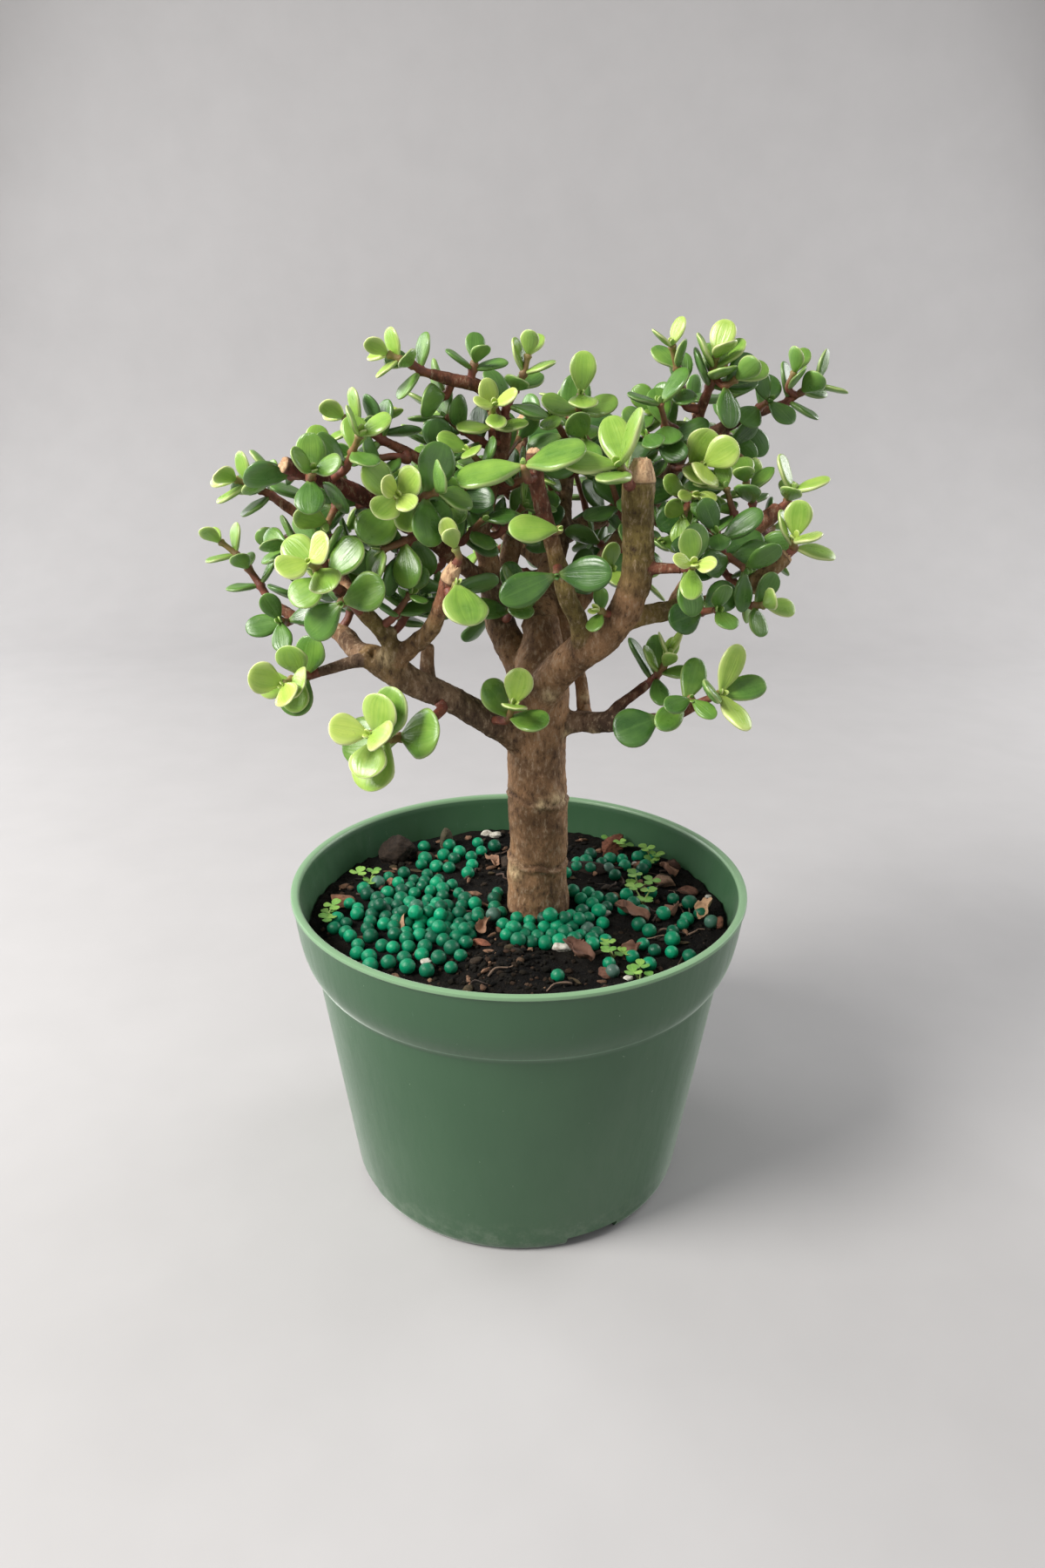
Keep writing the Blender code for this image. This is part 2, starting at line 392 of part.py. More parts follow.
def leaf_point(leaf, share, across_share):
    """A point of the blade's middle surface, which is a shallow spoon."""
    half = leaf.width / 2 * half_width(share)
    sideways = np.cross(leaf.upper, leaf.along) * (half * across_share)
    rise = SPOON * half * across_share**2
    return leaf.base + leaf.along * (leaf.length * share) + sideways + leaf.upper * rise


def feelers(leaf):
    return np.array([leaf_point(leaf, share, x) for share in FEEL_ALONG for x in FEEL_ACROSS])


def is_clear(points, others, clearance):
    """Whether the points keep this far from the others, whose fourth column is a radius."""
    if not len(others):
        return True
    apart = points[:, None, :] - others[None, :, :3]
    distance = np.sqrt(apart[..., 0] ** 2 + apart[..., 1] ** 2 + apart[..., 2] ** 2)
    return bool((distance - others[None, :, 3]).min() >= clearance)


def grow():
    """Each limb's and stem's line, and the leaves of each spray, bent clear of all that is near them."""
    draw = random.Random(SEED)
    limb_lines = {name: smooth_line(rows, 1.5) for name, rows in LIMBS.items()}
    rows, stems, node, ends_taken = {}, {}, {}, set()
    for spray in SPRAYS:
        rows[spray.name] = np.array(stem_rows(spray, limb_lines, stems, ends_taken))
        stems[spray.name] = smooth_line(rows[spray.name], 1.0)
        node[spray.name] = node.get(spray.limb, spray.name)
    wood = np.vstack(list(limb_lines.values()))
    stem_points, stem_nodes = [], []
    for spray in SPRAYS:
        line = stems[spray.name]
        radii = np.linspace(*spray.radii, len(line))
        stem_points.append(np.column_stack([line, radii]))
        stem_nodes += [node[spray.name]] * len(line)
    stem_points, stem_nodes = np.vstack(stem_points), np.array(stem_nodes)
    leaf_points, leaf_nodes, leaves = np.zeros((0, 4)), np.array([], stem_nodes.dtype), []
    for spray in SPRAYS:
        own = node[spray.name]
        for bud in leaf_pairs(spray, stems[spray.name], draw):
            reach = (bud.length * 1.1 + 6) ** 2

            def near(points):
                return ((points[:, :3] - bud.base) ** 2).sum(axis=1) < reach

            close_wood = wood[near(wood)]
            by, its_stem = near(stem_points), stem_nodes == own
            at, its_leaf = near(leaf_points), leaf_nodes == own
            for turn, lift, scale in TRIES:
                leaf = lay_leaf(bud, turn, lift, scale)
                points = feelers(leaf)
                blade = points[len(FEEL_ACROSS) :]
                if (
                    is_clear(points, close_wood, WOOD_CLEAR)
                    and is_clear(points, stem_points[by & ~its_stem], STEM_CLEAR)
                    and is_clear(blade, stem_points[by & its_stem], OWN_STEM_CLEAR)
                    and is_clear(points, leaf_points[at & ~its_leaf], LEAF_CLEAR)
                    and is_clear(blade, leaf_points[at & its_leaf], OWN_LEAF_CLEAR)
                ):
                    leaves.append((spray.name, own, leaf))
                    solid = np.column_stack([points, np.zeros(len(points))])
                    leaf_points = np.vstack([leaf_points, solid])
                    leaf_nodes = np.append(leaf_nodes, [own] * len(points))
                    break
    return limb_lines, rows, stems, node, leaves


def material(name, colour, roughness):
    made = bpy.data.materials.new(name)
    made.use_nodes = True
    shader = made.node_tree.nodes["Principled BSDF"]
    shader.inputs["Base Color"].default_value = (*colour, 1)
    shader.inputs["Roughness"].default_value = roughness
    shader.inputs["Metallic"].default_value = 0
    return made


def solid(name, points, faces, look=None):
    """An object from points in millimetres and faces that turn anticlockwise seen from outside."""
    mesh = bpy.data.meshes.new(name)
    mesh.from_pydata([tuple(float(v) * MM for v in point) for point in points], [], faces)
    made = bpy.data.objects.new(name, mesh)
    bpy.context.scene.collection.objects.link(made)
    if look:
        mesh.materials.append(look)
    return made


def modify(piece, kind, **settings):
    modifier = piece.modifiers.new(kind.title(), kind)
    for key, value in settings.items():
        setattr(modifier, key, value)
    return modifier


def apply_modifiers(piece):
    graph = bpy.context.evaluated_depsgraph_get()
    mesh = bpy.data.meshes.new_from_object(piece.evaluated_get(graph))
    piece.modifiers.clear()
    piece.data = mesh


def boolean(piece, others, operation):
    """Joins or cuts the piece with all the others, and removes them."""
    group = bpy.data.collections.new(piece.name + " others")
    bpy.context.scene.collection.children.link(group)
    for other in others:
        bpy.context.scene.collection.objects.unlink(other)
        group.objects.link(other)
    modify(
        piece,
        "BOOLEAN",
        operand_type="COLLECTION",
        collection=group,
        operation=operation,
        solver="EXACT",
    )
    apply_modifiers(piece)
    for other in others:
        bpy.data.objects.remove(other)
    bpy.data.collections.remove(group)
    return piece


def smooth(piece, degrees=40):
    piece.data.shade_smooth()
    piece.data.set_sharp_from_angle(angle=math.radians(degrees))
    return piece


def tube(name, rows, radii, sides, look=None):
    """A closed tube with flat ends through the rows."""
    points, faces = [], []
    side = None
    for i, (centre, radius) in enumerate(zip(rows, radii)):
        along = unit(rows[min(i + 1, len(rows) - 1)] - rows[max(i - 1, 0)])
        side = across(along)[0] if side is None else unit(side - along * float((side * along).sum()))
        other = np.cross(along, side)
        for k in range(sides):
            turn = 2 * math.pi * k / sides
            points.append(centre + (side * math.cos(turn) + other * math.sin(turn)) * radius)
    for i in range(len(rows) - 1):
        for k in range(sides):
            low, high, step = i * sides, (i + 1) * sides, (k + 1) % sides
            faces.append((low + k, low + step, high + step, high + k))
    faces.append(tuple(range(sides))[::-1])
    faces.append(tuple(range((len(rows) - 1) * sides, len(rows) * sides)))
    return solid(name, points, faces, look)


def turned(name, profile, look):
    """A turned body. The profile is radius and height, from the axis up inside and down outside."""
    edges = [(i, i + 1) for i in range(len(profile) - 1)]
    mesh = bpy.data.meshes.new(name)
    mesh.from_pydata([(radius * MM, 0, height * MM) for radius, height in profile], edges, [])
    mesh.materials.append(look)
    made = bpy.data.objects.new(name, mesh)
    bpy.context.scene.collection.objects.link(made)
    modify(
        made,
        "SCREW",
        steps=TURN_STEPS,
        render_steps=TURN_STEPS,
        use_merge_vertices=True,
        merge_threshold=0.00005,
    )
    apply_modifiers(made)
    return made


def post(name, x, y, low, high, radius, sides=16):
    """An upright cylinder."""
    rows = [np.array([x, y, low], float), np.array([x, y, high], float)]
    return tube(name, rows, [radius, radius], sides)


def make_pot():
    """A thin wall with a deep collar, a lip round the rim and four drain slots at the base."""
    profile = [(0, FLOOR), (BASE_RADIUS - 2.6, FLOOR), (BASE_RADIUS - 1, FLOOR + 1.4)]
    profile += [(WALL_TOP - WALL, COLLAR_LOW - 0.9), (COLLAR_RADIUS - WALL, COLLAR_LOW + 0.4)]
    profile += [(POT_RADIUS - 2.6, POT_HEIGHT - 2), (POT_RADIUS - 2.6, POT_HEIGHT - 0.5)]
    profile += [(POT_RADIUS - 2.1, POT_HEIGHT), (POT_RADIUS - 0.5, POT_HEIGHT)]
    profile += [(POT_RADIUS, POT_HEIGHT - 0.6), (POT_RADIUS - 0.1, POT_HEIGHT - 2.4)]
    profile += [(POT_RADIUS - 0.5, POT_HEIGHT - 2.7), (COLLAR_RADIUS + 0.8, COLLAR_LOW + 4)]
    profile += [(COLLAR_RADIUS - 0.6, COLLAR_LOW), (WALL_TOP, COLLAR_LOW - 1.6)]
    profile += [(BASE_RADIUS + 0.9, 3.2), (BASE_RADIUS, 0.9), (BASE_RADIUS - 1.1, 0), (0, 0)]
    pot = turned("pot", profile, material("green plastic", (0.045, 0.19, 0.11), 0.45))
    slots = [slot_cutter(SLOT_TURN + 90 * k) for k in range(4)]
    return smooth(boolean(pot, slots, "DIFFERENCE"))


def slot_cutter(degrees):
    turn = math.radians(degrees)
    out = np.array([math.sin(turn), -math.cos(turn), 0])
    side = np.array([math.cos(turn), math.sin(turn), 0])
    points = []
    for height in (-1, SLOT_HEIGHT):
        for away, half in ((SLOT_INNER, -1), (SLOT_OUTER, -1), (SLOT_OUTER, 1), (SLOT_INNER, 1)):
            points.append(out * away + side * (half * SLOT_WIDTH / 2) + UP * height)
    faces = [(0, 3, 2, 1), (4, 5, 6, 7), (0, 1, 5, 4), (1, 2, 6, 5), (2, 3, 7, 6), (3, 0, 4, 7)]
    return solid("slot", points, faces)


def soil_height(x, y):
    return SOIL_TOP - SOIL_FALL * (x * x + y * y) / SOIL_RADIUS**2


def make_potting_mix():
    """The mix fills the pot up to its low mound, with plain holes for the trunk and the seedlings."""
    wall_gap = WALL + GAP
    rings = (35, SOIL_RADIUS - 0.6)
    profile = [(0, SOIL_TOP)] + [(ring, soil_height(ring, 0)) for ring in rings]
    profile += [(COLLAR_RADIUS - wall_gap, COLLAR_LOW + 0.9), (WALL_TOP - wall_gap, COLLAR_LOW - 0.8)]
    profile += [(BASE_RADIUS - 1 - GAP, FLOOR + 1.6), (BASE_RADIUS - 2.8, FLOOR + GAP), (0, FLOOR + GAP)]
    mix = turned("potting_mix", profile, material("potting mix", (0.03, 0.022, 0.017), 0.95))
    trunk = LIMBS["trunk"][0]
    holes = [post("trunk hole", trunk[0], trunk[1], trunk[2] - GAP, SOIL_TOP + 5, trunk[3] + 0.5)]
    for x, y in SEEDLINGS.values():
        holes.append(post("seedling hole", x, y, SOIL_TOP - 7, SOIL_TOP + 5, SEEDLING_STEM + 0.4, 8))
    return smooth(boolean(mix, holes, "DIFFERENCE"))


def make_trunk():
    """Trunk and limbs, grown as one piece of wood."""
    look = material("bark", (0.19, 0.115, 0.07), 0.85)
    pieces = []
    for name, rows in LIMBS.items():
        rows = np.array(rows)
        sides = TRUNK_SIDES if name == "trunk" else LIMB_SIDES if rows[0, 3] > THIN_LIMB else THIN_SIDES
        pieces.append(tube(name, rows[:, :3], rows[:, 3], sides, look))
    pieces[0].name = "trunk"
    return smooth(boolean(pieces[0], pieces[1:], "UNION"))


def leaf_solid(leaf):
    """A fleshy blade of even thickness, split alike on both faces, from a root edge to a blunt tip."""
    stations = LARGE_LEAF if leaf.length >= LARGE_LENGTH else SMALL_LEAF
    if leaf.length < TINY_LENGTH:
        stations = TINY_LEAF
    points = []
    root = leaf.base - leaf.along * ROOT_SINK
    for face in (1, -1):
        points.append(root + leaf.upper * (face * LEAF_THICK / 2))
        for share, wide in stations:
            sideways = np.cross(leaf.upper, leaf.along) * (leaf.width / 2 * wide)
            centre = leaf.base + leaf.along * (leaf.length * share)
            centre = centre + leaf.upper * (SPOON * leaf.width / 4 * wide + face * LEAF_THICK / 2)
            points += [centre + sideways, centre - sideways]
    under = 2 * len(stations) + 1
    tip = under - 2
    halves = [(0, 2, 1)]
    for left in range(1, tip, 2):
        halves += [(left, left + 1, left + 3), (left, left + 3, left + 2)]
    faces = halves + [(under + c, under + b, under + a) for a, b, c in halves]
    faces += [(left, left + 2, under + left + 2, under + left) for left in range(1, tip, 2)]
    faces += [(left + 3, left + 1, under + left + 1, under + left + 3) for left in range(1, tip, 2)]
    faces += [(0, 1, under + 1, under), (2, 0, under, under + 2)]
    faces.append((tip, tip + 1, under + tip + 1, under + tip))
    return solid("leaf", points, faces)


def leaf_look(name, age):
    """Old leaves are a deep green and young ones lime."""
    deep, lime = (0.045, 0.17, 0.03), (0.42, 0.58, 0.1)
    return material(name, tuple(a + (b - a) * age for a, b in zip(deep, lime)), 0.4)


def make_sprays(rows, node, leaves):
    """Each leafy stem is one body: its stems with their leaves sunk well in."""
    for name in dict.fromkeys(node.values()):
        own = [spray for spray in SPRAYS if node[spray.name] == name]
        blades = [leaf for _, leaf_node, leaf in leaves if leaf_node == name]
        age = sum(leaf.age for leaf in blades) / max(1, len(blades))
        look = leaf_look(name + " leaf", age)
        pieces = []
        for spray in own:
            line = rows[spray.name]
            sides = STEM_SIDES if spray.radii[0] > TWIG_RADIUS else TWIG_SIDES
            pieces.append(tube("stem", line, np.linspace(*spray.radii, len(line)), sides, look))
        pieces += [leaf_solid(leaf) for leaf in blades]
        pieces[0].name = "spray_" + name
        smooth(boolean(pieces[0], pieces[1:], "UNION"))


def make_beads(name, centre, reach, turn):
    """A drift of feed beads: six-sided cells laid close over an oval, each raised to a round bead."""
    cells = drift(centre, reach, turn)
    points, faces, corners, walls = [], [], {}, {}
    for x, y in cells:
        floor = soil_height(x, y) + GAP
        ring = []
        for k in range(6):
            angle = turn + math.pi * (2 * k + 1) / 6
            cx, cy = x + BEAD_RADIUS * math.cos(angle), y + BEAD_RADIUS * math.sin(angle)
            key = (round(cx, 1), round(cy, 1))
            if key not in corners:
                corners[key] = len(points)
                low = soil_height(cx, cy) + GAP
                points += [(cx, cy, low), (cx, cy, low + BEAD_WAIST)]
            ring.append(corners[key])
        shoulder = len(points)
        for k in range(6):
            angle = turn + math.pi * (2 * k + 1) / 6
            away = BEAD_RADIUS * BEAD_SHOULDER
            height = floor + BEAD_RADIUS + math.sqrt(BEAD_RADIUS**2 - away**2)
            points.append((x + away * math.cos(angle), y + away * math.sin(angle), height))
        points += [(x, y, floor + 2 * BEAD_RADIUS), (x, y, floor)]
        for k in range(6):
            after = (k + 1) % 6
            a, b = ring[k], ring[after]
            faces.append((a + 1, b + 1, shoulder + after, shoulder + k))
            faces.append((shoulder + k, shoulder + after, shoulder + 6))
            faces.append((b, a, shoulder + 7))
            if (b, a) in walls:
                del walls[b, a]
            else:
                walls[a, b] = (a, b, b + 1, a + 1)
    faces += list(walls.values())
    return smooth(solid(name, points, faces, material(name, (0.0, 0.16, 0.07), 0.45)), 60)


def drift(centre, reach, turn):
    """The middles of a drift's beads, without those that touch no other bead of it."""
    cos, sin = math.cos(turn), math.sin(turn)
    step = BEAD_RADIUS * math.sqrt(3)
    found = []
    for row in range(-12, 13):
        for column in range(-12, 13):
            x, y = (column + 0.5 * (row % 2)) * step, row * BEAD_RADIUS * 1.5
            inside = (x / reach[0]) ** 2 + (y / reach[1]) ** 2 < 1
            x, y = centre[0] + x * cos - y * sin, centre[1] + x * sin + y * cos
            if inside and bead_fits(x, y):
                found.append((x, y))
    held = [min(found, key=lambda place: math.dist(place, centre))]
    for place in held:
        beside = [other for other in found if math.dist(place, other) < step * 1.1]
        held += [other for other in beside if other not in held]
    return held


def bead_fits(x, y):
    """Clear of the wall, the trunk, the seedlings and the bark."""
    trunk = LIMBS["trunk"][1]
    stops = [(trunk[0], trunk[1], trunk[3])] + [(sx, sy, 1.2) for sx, sy in SEEDLINGS.values()]
    stops += [(cx, cy, max(size) * 1.1) for cx, cy, size, _ in CHIPS.values()]
    clear = all(math.hypot(x - sx, y - sy) > radius + BEAD_RADIUS + 0.4 for sx, sy, radius in stops)
    return clear and math.hypot(x, y) < SOIL_RADIUS - BEAD_RADIUS - 0.8


def make_chip(name, x, y, size, colour):
    """A flake of bark: the hull of random corners on a flat slab, lying on the mix."""
    draw = random.Random(name)
    shape = bmesh.new()
    foot = soil_height(x, y) + GAP
    for k in range(9):
        turn = 2 * math.pi * k / 9 + draw.uniform(-0.2, 0.2)
        for level in (0, 1):
            away = draw.uniform(0.8, 1.0) * (1 - 0.2 * level)
            height = foot + level * size[2] * draw.uniform(0.7, 1.0)
            px, py = x + size[0] * away * math.cos(turn), y + size[1] * away * math.sin(turn)
            shape.verts.new((px * MM, py * MM, height * MM))
    hull = bmesh.ops.convex_hull(shape, input=shape.verts)
    loose = [item for item in hull["geom_interior"] if isinstance(item, bmesh.types.BMVert)]
    bmesh.ops.delete(shape, geom=loose, context="VERTS")
    bmesh.ops.recalc_face_normals(shape, faces=shape.faces)
    mesh = bpy.data.meshes.new(name)
    shape.to_mesh(mesh)
    shape.free()
    mesh.materials.append(material(name, colour, 0.9))
    made = bpy.data.objects.new(name, mesh)
    bpy.context.scene.collection.objects.link(made)
    return made


def make_seedling(name, x, y):
    """A weed seedling: a thread of a stem in its hole, with thin stalks that each hold three leaflets."""
    draw = random.Random(name)
    look = material(name, (0.2, 0.42, 0.08), 0.5)
    foot = np.array([x, y, SOIL_TOP - 5.5])
    fork = np.array([x, y, SOIL_TOP + 1.4])
    pieces = [tube(name, [foot, fork, fork + UP * 0.8], [SEEDLING_STEM] * 3, 5, look)]
    for k in range(2):
        turn = math.pi * (k + draw.uniform(-0.15, 0.15)) + x
        out = np.array([math.cos(turn), math.sin(turn), 0])
        head = fork + out * draw.uniform(2.6, 3.4) + UP * (2.2 + 0.8 * k)
        pieces.append(tube("stalk", [fork, head + UP * 0.2], [SEEDLING_STEM, 0.45], 4))
        for j in range(3):
            spin = turn + 2 * math.pi * j / 3
            along = unit(np.array([math.cos(spin), math.sin(spin), draw.uniform(0.05, 0.3)]))
            upper = unit(UP - along * float((UP * along).sum()))
            pieces.append(leaf_solid(Leaf(head - along * 0.15, along, upper, 3.7, 2.9, 0.6)))
    return smooth(boolean(pieces[0], pieces[1:], "UNION"))


def main():
    for item in list(bpy.data.objects):
        bpy.data.objects.remove(item)
    _, rows, _, node, leaves = grow()
    make_pot()
    make_potting_mix()
    make_trunk()
    make_sprays(rows, node, leaves)
    for name, (centre, reach, turn) in BEADS.items():
        make_beads(name, centre, reach, turn)
    for name, chip in CHIPS.items():
        make_chip(name, *chip)
    for name, (x, y) in SEEDLINGS.items():
        make_seedling(name, x, y)


main()
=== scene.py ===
"""Looks of the dwarf jade bonsai: fine leaves, bark, mix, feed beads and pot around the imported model.

The layout of the tree is in millimetres, as the model has it. Meshes are in metres.
"""

import math
import random
from collections import namedtuple

import bmesh
import bpy
import numpy as np
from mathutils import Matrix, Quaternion, Vector, noise
from mathutils.bvhtree import BVHTree


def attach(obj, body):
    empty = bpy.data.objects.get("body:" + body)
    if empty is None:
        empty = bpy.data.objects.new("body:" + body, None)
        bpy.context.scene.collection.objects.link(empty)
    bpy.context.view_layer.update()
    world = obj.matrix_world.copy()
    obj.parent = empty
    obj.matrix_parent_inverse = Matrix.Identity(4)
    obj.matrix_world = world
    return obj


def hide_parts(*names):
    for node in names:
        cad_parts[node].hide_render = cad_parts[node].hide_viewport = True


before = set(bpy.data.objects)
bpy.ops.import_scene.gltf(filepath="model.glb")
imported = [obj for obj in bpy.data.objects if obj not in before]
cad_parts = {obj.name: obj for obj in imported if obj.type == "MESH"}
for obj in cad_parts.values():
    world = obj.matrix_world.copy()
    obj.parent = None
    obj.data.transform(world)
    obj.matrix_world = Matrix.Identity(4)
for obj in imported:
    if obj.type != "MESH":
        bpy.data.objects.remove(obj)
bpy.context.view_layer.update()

MM = 0.001
GAP = 0.35
SEED = 7

POT_HEIGHT = 89.5
POT_RADIUS = 63.5  # outside of the rim
BASE_RADIUS = 47.7
SOIL_TOP = 79.8
SOIL_FALL = 1.5  # how much lower the soil lies at the wall than in the middle
SOIL_RADIUS = 58.0
FLOOR = 2.0  # thickness of the pot's floor
WALL = 1.4
COLLAR_LOW = 69.3  # where the collar ends
COLLAR_RADIUS = 59.8
WALL_TOP = 57.6  # radius of the wall just under the collar
SLOT_TURN = 26  # degrees round from the front to the first drain slot
SLOT_WIDTH = 15.5
SLOT_HEIGHT = 3.1
SLOT_INNER = 44.5
SLOT_OUTER = 52.0

BEAD_RADIUS = 2.3
BEADS = {
    "beads_left": ((-27, -10), (16, 11), -0.5),
    "beads_front": ((9, -18), (14, 6), 0.1),
}
CHIPS = {
    "bark_chunk": (-39, 33, (6, 4.5, 5), (0.02, 0.014, 0.01)),
    "bark_flake": (30, 42, (6.5, 3.5, 2.5), (0.13, 0.05, 0.03)),
}
SEEDLINGS = {
    "seedling_front": (25, -26),
    "seedling_right": (36, 4),
    "seedling_left": (-45, 16),
    "seedling_edge": (31, -38),
}

SPRAY_FIELDS = "name limb path radii pairs first length phase opening width age without"
Spray = namedtuple("Spray", SPRAY_FIELDS, defaults=[()])
Bud = namedtuple("Bud", "base direction side front around opening length width age")
Leaf = namedtuple("Leaf", "base along upper length width age")

UP = np.array([0.0, 0.0, 1.0])
FRONT = np.array([0.0, -0.93, 0.36])
WIDEST = 0.62  # share of a leaf's length where it is widest
END_STEPS = 4  # steps of a limb kept free behind its end
COLLAR = 1.5  # length of the straight stretch where a stem leaves the wood
SPOON = 0.11  # how far a leaf's sides rise, as a share of its half width
WOOD_CLEAR = 1.3  # what a leaf's middle surface keeps from the wood
STEM_CLEAR = 1.25
LEAF_CLEAR = 2.1
OWN_STEM_CLEAR = 0.5  # the same within one leafy stem
OWN_LEAF_CLEAR = 1.5
FEEL_ALONG = (0.22, 0.4, 0.58, 0.76, 0.92, 1.0)
FEEL_ACROSS = (-0.8, -0.4, 0, 0.4, 0.8)
TURNS = (0, 12, -12, 24, -24, 38, -38, 55, -55)
LIFTS = (0, 14, -14, 28, -28)
SCALES = (1, 0.88, 0.76)
TWIG_TRIES = 260
TWIG_LOW = 168  # the lowest that a twig's tip may be
TWIG_CLEAR_LEFT, TWIG_CLEAR_RIGHT, TWIG_CLEAR_FRONT = -24, 38, -4
TWIG_LIMBS = (
    "left_dark left_high left_olive cut_red back_left stem_a stem_b top_left arm_left right right_olive "
    "right_twin back_right back_right_fork back_right_red back_mid back_far_left back_far_right"
).split()
TRIES = sorted(
    ((turn, lift, scale) for turn in TURNS for lift in LIFTS for scale in SCALES),
    key=lambda way: (abs(way[0]) / 15 + abs(way[1]) / 12 + (1 - way[2]) * 9, way),
)

